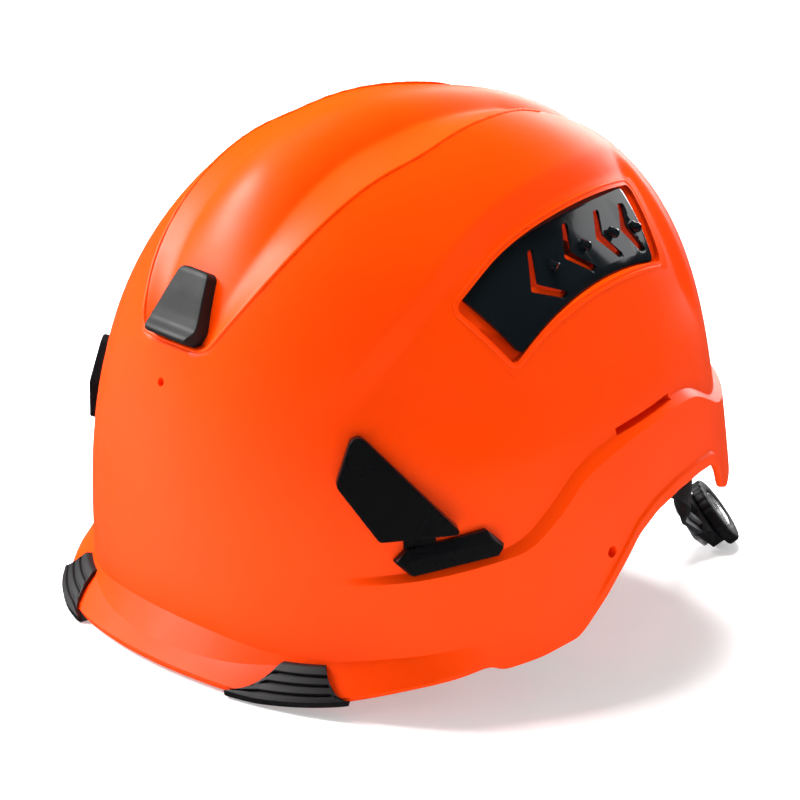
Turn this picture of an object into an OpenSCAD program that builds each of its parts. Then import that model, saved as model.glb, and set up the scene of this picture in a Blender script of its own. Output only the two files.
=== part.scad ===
// Climbing helmet with sliding vent shutters, lamp clips and a dial-adjusted nape cradle.
// Everything is drawn upright, as worn: front of the helmet towards -Y, wearer's left towards +X, +Z up,
// with z = 0 at the brim. stand() then tips it nose-down on to its brim bumpers and its nape dial.

/* [Shell] */
// Half width of the dome at its base
half_width = 107.5; // [100:0.5:115]
// Reach of the dome forward of the crown centre
front_reach = 119.5; // [112:0.5:126]
// Reach of the dome rearward of the crown centre
rear_reach = 137; // [130:0.5:144]
// Height of the crown above the brim
crown_h = 187; // [176:1:194]
// Wall thickness of the shell
wall = 2.8; // [2.2:0.1:3.4]
// How far the brim stands out at the front
brim_reach = 17; // [12:1:22]
// How far the belt above the rim stands out from the dome
belt_relief = 3.2; // [1:0.2:4]
// Depth of the valleys beside the central spine
valley_depth = 3.6; // [1:0.2:4]
// Depth of the side panels that hold the shutters
panel_depth = 3.4; // [1:0.2:4]

/* [Vent shutters] */
// Arc of one shutter about its axis, in degrees
shutter_arc = 41; // [40:0.5:42]
// Arc that a shutter can slide either way from its half-open place, in degrees
shutter_travel = 2; // [1:0.5:2.2]
// Thickness of a shutter
shutter_t = 1.8; // [1.2:0.1:2]
// Clearance round a shutter
shutter_gap = 0.35; // [0.3:0.05:0.5]

/* [Headband and nape cradle] */
// Height of the headband
band_h = 24; // [20:1:28]
// Diameter of the nape dial
dial_d = 31; // [28:1:33]
// Lean of the nape dial towards the wearer's left, as it rests
dial_lean = 32; // [20:1:36]
// Upward tilt of the nape dial's face, as worn
dial_pitch = 38; // [30:1:44]
// Width of a cradle arm
arm_w = 11; // [9:0.5:12]

/* [Webbing] */
// Width of the crown straps
crown_strap_w = 20; // [16:1:24]
// Width of the chin harness webbing
chin_strap_w = 15; // [12:1:18]

/* [Stand] */
// Nose-down angle at which the helmet stands
stand_tilt = 14.1; // [13:0.1:15]

/* [Hidden] */
shell_orange = "#FF5A00";
clip_grey = "#3A3B3A";
gloss_black = "#121214";
rubber_black = "#1B1B1D";
strap_grey = "#2A2C30";
foam_grey = "#3C3F44";
silver = "#C9CCD0";

// ---- small helpers -------------------------------------------------------------------------------
function clamp01(t) = min(1, max(0, t));
function ease(t) = let (c = clamp01(t)) c * c * (3 - 2 * c);
function rise(from, to, v) = ease((v - from) / (to - from));
function unit(v) = v / norm(v);
function mix(a, b, t) = a + (b - a) * t;

// ---- dome ----------------------------------------------------------------------------------------
plan_n = 2.11;
side_p = 2.73;
front_p = 3.0;
rear_p = 5.0;
dome_q = 1.5;
crown_shift = -13.5;
crown_round = 0.14;
corner_ease = 0.12;
toe_reach = 8;
toe_z = 100;
rho_span = pow(1 + crown_round * crown_round, dome_q / 2) - pow(crown_round, dome_q);

function plan_radius(phi) =
    let (reach = cos(phi) > 0 ? front_reach : rear_reach)
    pow(pow(abs(sin(phi)) / half_width, plan_n) + pow(abs(cos(phi)) / reach, plan_n), -1 / plan_n);

function wall_power(phi) =
    side_p + ((cos(phi) > 0 ? front_p : rear_p) - side_p) * cos(phi) * cos(phi)
        - (cos(phi) > 0 ? corner_ease * pow(sin(2 * phi), 2) : 0);

// How far the wall leans out towards the brim at the front corners
function toe(phi, z) =
    toe_reach * rise(5, 40, abs(phi)) * (1 - rise(50, 85, abs(phi))) * pow(1 - clamp01(z / toe_z), 1.3);

// Fraction of the plan radius that is left at height z
function rho_at(phi, z) =
    let (s = clamp01(z / crown_h),
         gap = rho_span * (1 - pow(s, wall_power(phi))) + pow(crown_round, dome_q))
    sqrt(max(0, pow(gap, 2 / dome_q) - crown_round * crown_round));

// ---- rim, brim and belt lines, by azimuth ----------------------------------------------------------
brim_end = 64;
brim_crease_z = 13;
rim_line = [[0, 6], [12, 5], [24, 3], [56, 2.5], [62, 3], [65, -0.5], [74, -2], [83, -1.5], [86, 2],
            [93.5, 14.5], [102, 27.5], [108, 32], [116, 34], [124, 33], [131, 30], [133.5, 25],
            [136.5, 13], [140, 9], [150, 8], [180, 8]];
belt_low = [[0, 44], [68, 42], [74, 41.5], [82, 49], [90, 59], [96, 62], [107, 65], [120, 65.5],
            [128, 63], [140, 46], [150, 42], [180, 41]];
belt_high = [[0, 48], [68, 46], [74, 49], [82, 59], [90, 67], [96, 70.5], [107, 70.5], [120, 71],
             [128, 69], [140, 53], [150, 47], [180, 46]];

function rim_z(phi) = lookup(abs(phi), rim_line);
function belt_low_z(phi) = lookup(abs(phi), belt_low);
function belt_high_z(phi) = lookup(abs(phi), belt_high);
function brim_flare(phi) =
    abs(phi) < brim_end ? brim_reach * pow(1 - pow(abs(phi) / brim_end, 2), 1.1) : 0;

// Smooth surface before relief: dome plus brim
function skin(phi, z) =
    let (drop = clamp01((brim_crease_z - z) / (brim_crease_z - rim_z(phi))),
         r = plan_radius(phi) * rho_at(phi, z) + brim_flare(phi) * drop + toe(phi, z))
    [r * sin(phi), -r * cos(phi) + crown_shift * pow(clamp01(z / crown_h), 1.5), z];

function skin_normal(phi, z) =
    let (zc = min(z, crown_h - 1.2))
    unit(cross(skin(phi + 1, zc) - skin(phi - 1, zc), skin(phi, zc + 0.6) - skin(phi, zc - 0.6)));

// ---- shutter axis: the side panel, the shutter and its pan all turn about it ------------------------
axis_at = [82.5, 38, -5];
axis_yaw = 10.2;
axis_dir = [cos(axis_yaw), sin(axis_yaw), 0];
axis_back = [-sin(axis_yaw), cos(axis_yaw), 0];
shutter_in = 122.5;
shutter_out = 148.5;
panel_in = 155;
panel_out = 162;
shutter_front = -24.4;

function panel_v(p) = ([abs(p[0]), p[1], p[2]] - axis_at) * axis_back;
function panel_w(p) = p[2] - axis_at[2];

// ---- relief ----------------------------------------------------------------------------------------
spine_split = 0.62;
lip_z = 122;

function band_half(y) = 38.5 * (1 - exp(-(max(y, -114) + 116) / 22));

function band_relief(p) =
    let (xi = abs(p[0]) / band_half(p[1]),
         reach = p[1] < 0 ? rise(lip_z, lip_z + 3, p[2]) : rise(95, 125, p[2]),
         centre = -valley_depth * (1 - rise(-92, -50, p[1])),
         shape = xi < spine_split ? mix(centre, -valley_depth, pow(xi / spine_split, 2))
                                  : -valley_depth * clamp01((1 - xi) / (1 - spine_split)))
    reach * shape;

function panel_relief(p) =
    let (v = panel_v(p), w = panel_w(p), rho = norm([v, w]), turn = atan2(v, w))
    -panel_depth * (1 - clamp01((rho - panel_in) / (panel_out - panel_in))) * (1 - rise(55, 62, v))
        * rise(72, 100, p[2]) * rise(-52, -38, turn);

function belt_lift(phi, z) =
    belt_relief * rise(36, 52, abs(phi)) * (1 - rise(belt_low_z(phi), belt_high_z(phi), z));

function outer(phi, z) =
    let (p = skin(phi, z))
    p + skin_normal(phi, z) * (band_relief(p) + panel_relief(p) + belt_lift(phi, z));

function inner(phi, z) = outer(phi, z) - wall * skin_normal(phi, z);

// ---- shell mesh -------------------------------------------------------------------------------------
half_columns = concat([for (a = [0:6:60]) a], [64, 67, 70, 74, 78, 82, 84.5, 87, 90, 93.5, 98, 102, 107,
                      112, 116, 120, 124, 128, 131, 133.5, 136.5, 140, 146], [for (a = [152:7:173]) a]);
half_count = len(half_columns);
columns = concat(half_columns, [180], [for (i = [half_count - 1:-1:1]) -half_columns[i]]);
rows_brim = 3;
rows_side = 4;
rows_belt = 2;
rows_dome = 13;
row_count = rows_brim + rows_side + rows_belt + rows_dome;

function first_break(phi) = mix(brim_crease_z, mix(rim_z(phi), belt_low_z(phi), 0.35), rise(50, 70, abs(phi)));
function row_z(phi, j) =
    let (a = first_break(phi), b = belt_low_z(phi), c = belt_high_z(phi))
    j < rows_brim ? mix(rim_z(phi), a, j / rows_brim)
    : j < rows_brim + rows_side ? mix(a, b, (j - rows_brim) / rows_side)
    : j < rows_brim + rows_side + rows_belt ? mix(b, c, (j - rows_brim - rows_side) / rows_belt)
    : let (u = (j - rows_brim - rows_side - rows_belt) / rows_dome) crown_h - (crown_h - c) * pow(1 - u, 2);

col_count = len(columns);
outer_pts = [for (j = [0:row_count - 1], phi = columns) outer(phi, row_z(phi, j))];
inner_pts = [for (j = [0:row_count - 1], phi = columns) inner(phi, row_z(phi, j))];
apex_out = [0, crown_shift, crown_h];
apex_in = [0, crown_shift, crown_h - wall];
grid = row_count * col_count;

function at(j, i) = j * col_count + (i % col_count);
function skin_faces(base, apex, flip) =
    let (quads = [for (j = [0:row_count - 2], i = [0:col_count - 1])
                      each [[at(j, i), at(j + 1, i), at(j, i + 1)], [at(j, i + 1), at(j + 1, i), at(j + 1, i + 1)]]],
         caps = [for (i = [0:col_count - 1]) [at(row_count - 1, i), apex - base, at(row_count - 1, i + 1)]])
    [for (f = concat(quads, caps)) flip ? [base + f[2], base + f[1], base + f[0]]
                                        : [base + f[0], base + f[1], base + f[2]]];

module shell_wall() {
    rim = [for (i = [0:col_count - 1])
               each [[at(0, i), at(0, i + 1), grid + 1 + at(0, i)],
                     [at(0, i + 1), grid + 1 + at(0, i + 1), grid + 1 + at(0, i)]]];
    polyhedron(points = concat(outer_pts, [apex_out], inner_pts, [apex_in]),
               faces = concat(skin_faces(0, grid, false), skin_faces(grid + 1, 2 * grid + 1, true), rim));
}

// Solid under a surface, closed below the rim
module filled(pts, apex) {
    floor_at = grid + 1;
    polyhedron(points = concat(pts, [apex], [[0, 0, -70]]),
               faces = concat(skin_faces(0, grid, false),
                              [for (i = [0:col_count - 1]) [at(0, i), at(0, i + 1), floor_at]]));
}
module cavity() { filled(inner_pts, apex_in); }
module dome_body() { filled(outer_pts, apex_out); }

// ---- placement ----------------------------------------------------------------------------------------
// Tips the upright helmet nose-down on to its bumpers and dial
stand_z = 30.26;
stand_y = -29.6;
module stand() { translate([0, stand_y, stand_z]) rotate([stand_tilt, 0, 0]) children(); }

// Local frame from three axes and an origin
module frame(x, y, z, at) {
    multmatrix([[x[0], y[0], z[0], at[0]], [x[1], y[1], z[1], at[1]], [x[2], y[2], z[2], at[2]]]) children();
}
// Frame on the shell's surface: X along the azimuth, Y up the surface, Z outward
function seat(phi, z) = skin(phi, z) + skin_normal(phi, z) * belt_lift(phi, z);
module place_on(phi, z, depth = 0) {
    n = skin_normal(phi, z);
    h = unit(cross([0, 0, 1], n));
    frame(h, cross(n, h), n, seat(phi, z) - depth * n) children();
}
// Frame of a shutter: revolved shapes turn about axis_dir, from straight up towards the back
module on_axis() { frame([0, 0, 1], axis_back, -axis_dir, axis_at) children(); }
// Keeps OpenSCAD's own mesh of a shape that follows the dome
module as_mesh() { resize([0, 0, 0]) children(); }
module right_side() { mirror([1, 0, 0]) children(); }
module on_side(side) { mirror([side < 0 ? 1 : 0, 0, 0]) children(); }

// ---- vent shutters ------------------------------------------------------------------------------------
pan_floor = 3.4;
pan_back = 6;
chevron_turn = [-14.8, -4.7, 4.2, 11.1];
chevron_half = [9, 8.5, 8, 8];
chevron_back = [10.8, 8.9, 6.6, 5.4];
peg_turn = [-8.1, 0.4, 8.1, 14.8];
chevron_rho = 134.5;
slot_w = 3;
slot_shift = 1.9;

// Offset of the side panel's surface along the shutter axis, by distance from that axis
function face_u(rho) = -0.0098 * pow(rho - 118, 2) - 0.4 * (rho - 118);

module sector(rho_a, rho_b, top, bottom, from, arc) {
    steps = [for (i = [0:6]) mix(rho_a, rho_b, i / 6)];
    rotate([0, 0, from]) rotate_extrude(angle = arc, $fn = 240)
        polygon(concat([for (r = steps) [r, -face_u(r) - top]],
                       [for (i = [6:-1:0]) [steps[i], -face_u(steps[i]) - bottom]]));
}
module chevrons(shift, width) {
    for (i = [0:3]) rotate([0, 0, chevron_turn[i] + shift]) translate([chevron_rho, 0, -10]) linear_extrude(60)
        for (side = [-1, 1])
            polygon([[0, 0], [side * chevron_half[i], chevron_back[i]],
                     [side * chevron_half[i], chevron_back[i] + width], [0, width * 1.25]]);
}
module pocket() {
    sector(shutter_in - shutter_gap, shutter_out + shutter_gap, 8, -pan_floor,
           shutter_front - shutter_travel - 0.4, shutter_arc + 2 * shutter_travel + 0.8);
}
module pan() {
    sector(119.5, 151.5, -1.8, -pan_back, shutter_front - 4.5, shutter_arc + 8.5);
}
module vent_shutter() {
    top = -pan_floor + 0.3 + shutter_t;
    color(gloss_black) {
        difference() {
            sector(shutter_in, shutter_out, top, top - shutter_t, shutter_front, shutter_arc);
            chevrons(0, slot_w);
        }
        for (turn = peg_turn)
            rotate([0, 0, turn]) translate([135, 0, -face_u(135) - top - 3]) cylinder(d = 4, h = 3.6, $fn = 32);
    }
}

// ---- shell --------------------------------------------------------------------------------------------
front_hole_z = 109;
side_hole_phi = 94;
side_hole_z = 26.5;
foot_w = 9;
foot_t = 4;

module foot(gap, length) {
    translate([0, 0, -length / 2 + 2])
        cube([foot_w + 2 * gap, foot_t + 2 * gap, length], center = true);
}
slot_phis = [104.5:3:119.5];
slot_depth = 5.2;
sleeve_depth = 6.6;
module accessory_slots() {
    for (phi = slot_phis) place_on(phi, 68.8) translate([0, 0, 10 - slot_depth]) cube([6.6, 2.8, 20], center = true);
}
// Blind sleeve inside the wall behind an accessory slot
module slot_sleeve() {
    for (phi = slot_phis)
        place_on(phi, 68.8) translate([0, 0, -sleeve_depth / 2 - 0.8]) cube([9, 6.4, sleeve_depth - 1.6], center = true);
}
module half_cuts() {
    on_axis() {
        pocket();
        chevrons(slot_shift, slot_w);
    }
    accessory_slots();
    place_on(47, 73) translate([2, 6, 0]) foot(0.2, 14);
    place_on(57.5, 47.5) foot(0.2, 14);
}
module shell() {
    color(shell_orange) difference() {
        as_mesh() difference() {
            union() {
                shell_wall();
                on_axis() pan();
                right_side() on_axis() pan();
                slot_sleeve();
                right_side() slot_sleeve();
            }
            half_cuts();
            right_side() half_cuts();
            place_on(0, 136) translate([0, 6, 0]) foot(0.2, 16);
            place_on(180, 122) translate([0, 6, 0]) foot(0.2, 16);
        }
        place_on(0, front_hole_z) cylinder(r = 1.5, h = 20, center = true, $fn = 32);
        for (side = [-1, 1])
            place_on(side * side_hole_phi, side_hole_z) cylinder(r = 2, h = 24, center = true, $fn = 32);
    }
}

// ---- lamp clips ---------------------------------------------------------------------------------------
module rounded(points, r) { offset(r, $fn = 24) offset(-r) polygon(points); }

module hook_plate() {
    intersection() {
        translate([0, 0, -8]) linear_extrude(20)
            rounded([[-8, 13.5], [8, 13.5], [13.5, -8], [11.5, -14], [-11.5, -14], [-13.5, -8]], 3);
        rotate([90, 0, 90]) translate([0, 0, -20]) linear_extrude(40)
            polygon([[-15, -8], [15, -8], [15, 1], [12, 2.6], [-4, 3.4], [-8, 4.2], [-12.5, 7.4], [-15, 6.4]]);
    }
}
module end_clip(phi, z) {
    color(clip_grey) as_mesh() {
        difference() {
            place_on(phi, z) hook_plate();
            dome_body();
        }
        place_on(phi, z) translate([0, 6, 0]) foot(0, 9);
    }
}
module side_clip(side) {
    color(clip_grey) as_mesh() {
        difference() {
            on_side(side) {
                place_on(47, 73) translate([0, 0, -6]) linear_extrude(10.5)
                    rounded([[-6, 24], [-15, 7], [-3, -16], [27, -18]], 2.5);
                place_on(57.5, 47.5) translate([0, 0, -6]) linear_extrude(9.5)
                    rounded([[-20, 1.5], [-15, 5.5], [15, 5.5], [20, -1], [17, -5.5], [-15, -5.5]], 1);
                place_on(53, 55) translate([0, 0, -2]) cube([12, 12, 7], center = true);
            }
            dome_body();
        }
        on_side(side) {
            place_on(47, 73) translate([2, 6, 0]) foot(0, 9);
            place_on(57.5, 47.5) foot(0, 9);
        }
    }
}

// ---- brim bumpers -------------------------------------------------------------------------------------
bumper_from = 18.6;
bumper_to = 38.7;
bumper_t = 1.8;
groove_t = 0.8;
bumper_rows = [[0, 0], [0.1, bumper_t], [0.3, bumper_t], [0.33, groove_t], [0.38, groove_t], [0.41, bumper_t],
               [0.55, bumper_t], [0.58, groove_t], [0.63, groove_t], [0.66, bumper_t], [0.8, bumper_t],
               [0.83, groove_t], [0.88, groove_t], [0.91, bumper_t], [1, bumper_t]];

// Cross-section at t along the bumper: ribbed face, underside, then back inside the shell's wall
function bumper_section(t) =
    let (low = mix(bumper_from, bumper_to, t), high = mix(24, 36, t), top = 13.5 * pow(sin(180 * t), 0.25) + 0.4)
    concat([for (r = bumper_rows)
                let (phi = mix(high, low, r[0]), z = mix(rim_z(low) + top, rim_z(low), r[0]))
                outer(phi, z) + skin_normal(phi, z) * r[1]],
           [let (n = skin_normal(low, rim_z(low))) outer(low, rim_z(low)) + [n[0], n[1], 0] * bumper_t - [0, 0, 2.4],
            outer(low, rim_z(low)) * 0.955 - [0, 0, 2.6],
            outer(low, rim_z(low)) * 0.955 + [0, 0, 1]],
           [for (s = [0.7, 0.35, 0])
                let (phi = mix(high, low, s), z = mix(rim_z(low) + top, rim_z(low), s))
                outer(phi, z) - skin_normal(phi, z) * 1.2]);

// Solid through a list of closed sections with the same number of points
module loft(sections) {
    n = len(sections[0]);
    m = len(sections);
    polyhedron(points = [for (s = sections) each s],
               faces = concat([[for (i = [0:n - 1]) i]],
                              [for (j = [0:m - 2], i = [0:n - 1])
                                   each [[j * n + i, (j + 1) * n + i, j * n + (i + 1) % n],
                                         [j * n + (i + 1) % n, (j + 1) * n + i, (j + 1) * n + (i + 1) % n]]],
                              [[for (i = [n - 1:-1:0]) (m - 1) * n + i]]));
}
module brim_bumper(side) {
    color(rubber_black) as_mesh() difference() {
        on_side(side) loft([for (i = [0:10]) bumper_section(i / 10)]);
        shell_wall();
    }
}

// ---- webbing and ribbons ------------------------------------------------------------------------------
function bezier(p, t) =
    pow(1 - t, 3) * p[0] + 3 * pow(1 - t, 2) * t * p[1] + 3 * (1 - t) * t * t * p[2] + pow(t, 3) * p[3];
function reversed(list) = [for (i = [len(list) - 1:-1:0]) list[i]];
function heading(path, i) = unit(path[min(i + 1, len(path) - 1)] - path[max(i - 1, 0)]);
function flat_to(v, axis) = unit(v - axis * (v * axis));

// Strip of a width and a thickness along a path, its width turning from one direction to another
module ribbon(path, side_a, side_b, width, thickness) {
    last = len(path) - 1;
    loft([for (i = [0:last])
              let (d = heading(path, i), s = flat_to(mix(side_a, side_b, i / last), d), n = cross(d, s),
                   w = s * width / 2, h = n * thickness / 2)
              [path[i] - w - h, path[i] + w - h, path[i] + w + h, path[i] - w + h]]);
}

// ---- suspension ---------------------------------------------------------------------------------------
band_a = 79;
band_b = 106;
band_y = 10;
band_t = 1.8;
band_low = 14;
band_reach = 124;
anchor_phis = [38, 90, 142];
anchor_z = 52;
anchor_t = 5.5;
strap_t = 1;
crown_z = 140;
pivot = [75.6, 60, band_low + band_h / 2];
pin_r = 2;
pin_fit = 0.05;

function band_point(t, grow) = [(band_a + grow) * sin(t), band_y - (band_b + grow) * cos(t)];
module band_ring(reach, grow_in, grow_out, height) {
    linear_extrude(height)
        polygon(concat([for (t = [-reach:reach / 30:reach + 0.01]) band_point(t, grow_out)],
                       [for (t = [reach:-reach / 30:-reach - 0.01]) band_point(t, grow_in)]));
}
module front_headband() {
    color(strap_grey) difference() {
        union() {
            translate([0, 0, band_low]) band_ring(band_reach, 0, band_t, band_h);
            for (side = [-1, 1])
                translate([side * 69.6, pivot[1], pivot[2]]) rotate([0, 90, 0])
                    cylinder(r = 7, h = 9.2, center = true, $fn = 48);
        }
        for (side = [-1, 1])
            translate([side * 70, pivot[1], pivot[2]]) rotate([0, 90, 0])
                cylinder(r = pin_r + pin_fit, h = 30, center = true, $fn = 48);
    }
}
module forehead_pad() {
    color(foam_grey) translate([0, 0, band_low - 3]) band_ring(46, -5.4, -0.3, band_h + 8);
}

// Point on the inner face of a strap anchor
function anchor_face(phi, up) =
    let (n = skin_normal(phi, anchor_z)) inner(phi, anchor_z) - n * (anchor_t + strap_t / 2 + 0.8)
        + cross(n, unit(cross([0, 0, 1], n))) * up;
module strap_anchors() {
    color(clip_grey) for (side = [-1, 1], phi = anchor_phis)
        as_mesh() intersection() {
            place_on(side * phi, anchor_z, wall) translate([0, 0, -anchor_t + 10]) cube([24, 18, 20], center = true);
            cavity();
        }
}
module crown_strap(phi_a, phi_b, lift) {
    apex = [0, -4, crown_z + lift];
    ends = [for (phi = [phi_a, phi_b])
                let (e = anchor_face(phi, -7), n = skin_normal(phi, anchor_z), out = unit([n[0], n[1], 0]))
                [e, e + [0, 0, 58] - out * 2, apex + out * 48, apex]];
    path = concat([for (t = [0:0.1:0.95]) bezier(ends[0], t)], [apex],
                  reversed([for (t = [0:0.1:0.95]) bezier(ends[1], t)]));
    across = [for (phi = [phi_a, phi_b]) unit(cross([0, 0, 1], skin_normal(phi, anchor_z)))];
    color(strap_grey) ribbon(path, across[0], -across[1], crown_strap_w, strap_t);
}
module crown_pad() {
    color(foam_grey) translate([0, -4, crown_z - 1]) rotate_extrude($fn = 64)
        polygon(concat([for (r = [0:6.5:26]) [r, -3.6 * pow(r / 26, 2)]],
                       [for (r = [26:-6.5:0]) [r, -4 - 3.6 * pow(r / 26, 2)]]));
}
// Strips that carry the headband from the strap anchors
module band_hangers() {
    color(clip_grey) for (side = [-1, 1], phi = [38, 90]) {
        n = skin_normal(side * phi, anchor_z);
        out = unit([n[0], n[1], 0]);
        top = anchor_face(side * phi, 2) + out * 0.1 + [0, 0, 0];
        turn = phi == 38 ? 44 : 90;
        foot2 = band_point(side * turn, band_t + 1.3);
        foot_at = [foot2[0], foot2[1], band_low + 5];
        path = [for (t = [0:0.125:1]) bezier([foot_at, foot_at + [0, 0, 20], top - [0, 0, 18] - out * 3.5,
                                              top - out * 1.9 + [0, 0, -2]], t)];
        across = cross(out, [0, 0, 1]);
        ribbon(path, across, across, 10, 1.6);
    }
}

// ---- nape cradle --------------------------------------------------------------------------------------
dial_at = [0, 175.2, -58.3];
dial_n = [sin(dial_lean), cos(dial_lean) * cos(dial_pitch), cos(dial_lean) * sin(dial_pitch)];
dial_x = flat_to([1, 0, 0], dial_n);
dial_y = cross(dial_n, dial_x);
fork = 18;
pitch_r = 5;
teeth = 10;
tooth_pitch = 2 * PI * pitch_r / teeth;
knob_t = 5;
cover_t = 1;
housing_t = 4.6;
rack_t = 1.3;
rack_x = 7.4;
wing = 19;
layer = [-knob_t - 0.4 - cover_t - 0.3, -knob_t - 0.4 - cover_t - 0.3 - rack_t - 0.4];
arm_t = 1.8;
housing_top = -knob_t - 0.4 - cover_t;

module dial_frame() { frame(dial_x, dial_y, dial_n, dial_at) children(); }
// Point at x across and y along one branch of the fork, at depth z under the dial's face
function fork_point(side, x, y, z) =
    let (c = cos(fork), s = side * sin(fork), a = x * c - y * s, b = x * s + y * c)
    dial_at + a * dial_x + b * dial_y + z * dial_n;

module housing_outline() {
    circle(r = 12, $fn = 64);
    for (side = [-1, 1])
        rotate(side * fork) translate([rack_x - 6, -wing]) square([12, wing]);
}
module nape_housing() {
    color(gloss_black) dial_frame() difference() {
        translate([0, 0, housing_top - housing_t]) linear_extrude(housing_t) housing_outline();
        translate([0, 0, housing_top - housing_t + 0.6]) cylinder(r = pitch_r + 1.1, h = 20, $fn = 48);
        for (i = [0, 1])
            rotate([0, 0, (1 - 2 * i) * fork])
                translate([rack_x - 2.9, -wing - 5, layer[i] - rack_t - 0.35]) cube([5.2, wing + 16, 20]);
        for (at = screw_spots) translate([at[0], at[1], housing_top - 3]) cylinder(r = 0.8, h = 10, $fn = 24);
    }
}
screw_spots = [[-9.6, 2], [-2, -9.5]];
module nape_cover() {
    color(gloss_black) dial_frame() difference() {
        translate([0, 0, housing_top]) linear_extrude(cover_t) housing_outline();
        cylinder(r = pitch_r + 1.1, h = 40, center = true, $fn = 48);
        for (at = screw_spots) translate([at[0], at[1], housing_top - 3]) cylinder(r = 1, h = 10, $fn = 24);
    }
}
module cover_screws() {
    color(silver) dial_frame() for (at = screw_spots)
        translate([at[0], at[1], housing_top - 2.6]) cylinder(r = 0.78, h = cover_t + 2.55, $fn = 24);
}
module nape_pad() {
    color(foam_grey) dial_frame() translate([0, 0, housing_top - housing_t - 3]) linear_extrude(3)
        difference() {
            housing_outline();
            translate([0, 13]) square([40, 30], center = true);
        }
}
module rack(i) {
    reach = 30;
    color(clip_grey) dial_frame() rotate([0, 0, (1 - 2 * i) * fork])
        translate([0, 0, layer[i] - rack_t]) linear_extrude(rack_t) {
            translate([rack_x - 1.2, -reach]) square([3, reach + 2.5]);
            for (k = [-6:0]) translate([0, (k + 0.5) * tooth_pitch])
                polygon([[rack_x - 1, -0.6], [rack_x - 2.4, -0.35], [rack_x - 2.4, 0.35], [rack_x - 1, 0.6]]);
        }
}
module dial_pinion() {
    depth = -housing_top + housing_t - 1.4;
    color(clip_grey) dial_frame() rotate([0, 0, fork]) translate([0, 0, -depth]) linear_extrude(depth - knob_t) {
        circle(r = pitch_r - 0.9, $fn = 48);
        for (k = [0:teeth - 1]) rotate(k * 360 / teeth)
            polygon([[3.8, -0.65], [pitch_r + 0.55, -0.3], [pitch_r + 0.55, 0.3], [3.8, 0.65]]);
    }
}
module dial_knob() {
    cap_r = dial_d * 0.28;
    color(rubber_black) dial_frame() difference() {
        rotate_extrude($fn = 96)
            polygon([[0, -knob_t], [dial_d / 2 - 0.8, -knob_t], [dial_d / 2, -knob_t + 0.8], [dial_d / 2, -1.2],
                     [dial_d / 2 - 1.6, 0], [cap_r + 1.4, 0], [cap_r, -1], [cap_r, -1.6], [0, -1.6]]);
        for (a = [0:15:345]) rotate([0, 0, a]) translate([dial_d / 2 + 0.9, 0, 0])
            cylinder(r = 1.4, h = 20, center = true, $fn = 24);
    }
}
module dial_cap() {
    cap_r = dial_d * 0.28 - 0.05;
    color(silver) dial_frame() rotate_extrude($fn = 96)
        polygon([[0, -1.6], [cap_r, -1.6], [cap_r, -0.5], [cap_r - 0.8, -0.5], [cap_r * 0.5, -1], [0, -1.2]]);
}
// Spring tongue that clicks over the pinion's teeth
module dial_pawl() {
    color(silver) dial_frame() translate([0, 0, housing_top - housing_t + 0.65]) linear_extrude(0.25)
        difference() {
            circle(r = pitch_r + 0.9, $fn = 48);
            circle(r = pitch_r - 0.2, $fn = 48);
        }
}
module cradle_arm(i) {
    side = 1 - 2 * i;
    z = i == 0 ? layer[0] - rack_t - 0.35 - arm_t / 2 : layer[1] + 0.35 + arm_t / 2;
    start = fork_point(side, rack_x, -wing - 0.05, z);
    turn = fork_point(side, rack_x, -wing - 17, z);
    hinge = [side * pivot[0], pivot[1], pivot[2]];
    curve = [turn, turn + (turn - start) * 0.9, hinge + [side * 3, 40, -22], hinge];
    path = concat([start, mix(start, turn, 0.5)], [for (t = [0:0.0625:1]) bezier(curve, t)]);
    across = cross(unit(turn - start), dial_n) * (i == 0 ? -1 : -1);
    sign = across * [0, 0.6, 0.8] > 0 ? 1 : -1;
    color(gloss_black) difference() {
        union() {
            as_mesh() ribbon(path, across * sign, [0, 0.6, 0.8], arm_w, arm_t);
            translate(hinge) rotate([0, 90, 0]) cylinder(r = 7.5, h = arm_t, center = true, $fn = 48);
        }
        translate(hinge) rotate([0, 90, 0]) cylinder(r = pin_r + pin_fit, h = 20, center = true, $fn = 48);
    }
}
module pivot_pin(side) {
    color(silver) translate([side * 66.8, pivot[1], pivot[2]]) rotate([0, side * 90, 0]) {
        cylinder(r = pin_r, h = 12, $fn = 48);
        translate([0, 0, 10.4]) cylinder(r = 4, h = 1.6, $fn = 48);
    }
}

// ---- chin harness, stowed inside the rim ----------------------------------------------------------------
leg_phis = [66, 121];
leg_z = 40;
divider_at = [86, 2, -2];
buckle_at = [0, -4, -22];
web_t = 1.2;

function leg_top(phi) =
    let (n = skin_normal(phi, leg_z)) inner(phi, leg_z) - n * (4.6 + web_t / 2) - [0, 0, 2];
module leg_anchors() {
    color(clip_grey) for (side = [-1, 1], phi = leg_phis)
        as_mesh() intersection() {
            place_on(side * phi, leg_z, wall) translate([0, 0, 6]) cube([18, 12, 20], center = true);
            cavity();
        }
}
module leg(side, phi) {
    top = leg_top(side * phi);
    n = skin_normal(side * phi, leg_z);
    lean = phi < 90 ? -5 : 5;
    low = [side * divider_at[0], divider_at[1] + lean * 1.6, divider_at[2] + 11.2];
    path = [for (t = [0:0.125:1]) bezier([top, top - [0, 0, 12], low + [0, 0, 16], low], t)];
    along = unit(cross(n, [0, 0, 1]));
    color(strap_grey) ribbon(path, along, [0, along[1] > 0 ? 1 : -1, 0], chin_strap_w, web_t);
}
module divider(side) {
    color(gloss_black) translate([side * divider_at[0], divider_at[1], divider_at[2]]) difference() {
        cube([5, 30, 17.4], center = true);
        translate([0, 0, -5]) cube([10, chin_strap_w + 1, 2.4], center = true);
    }
}
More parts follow.
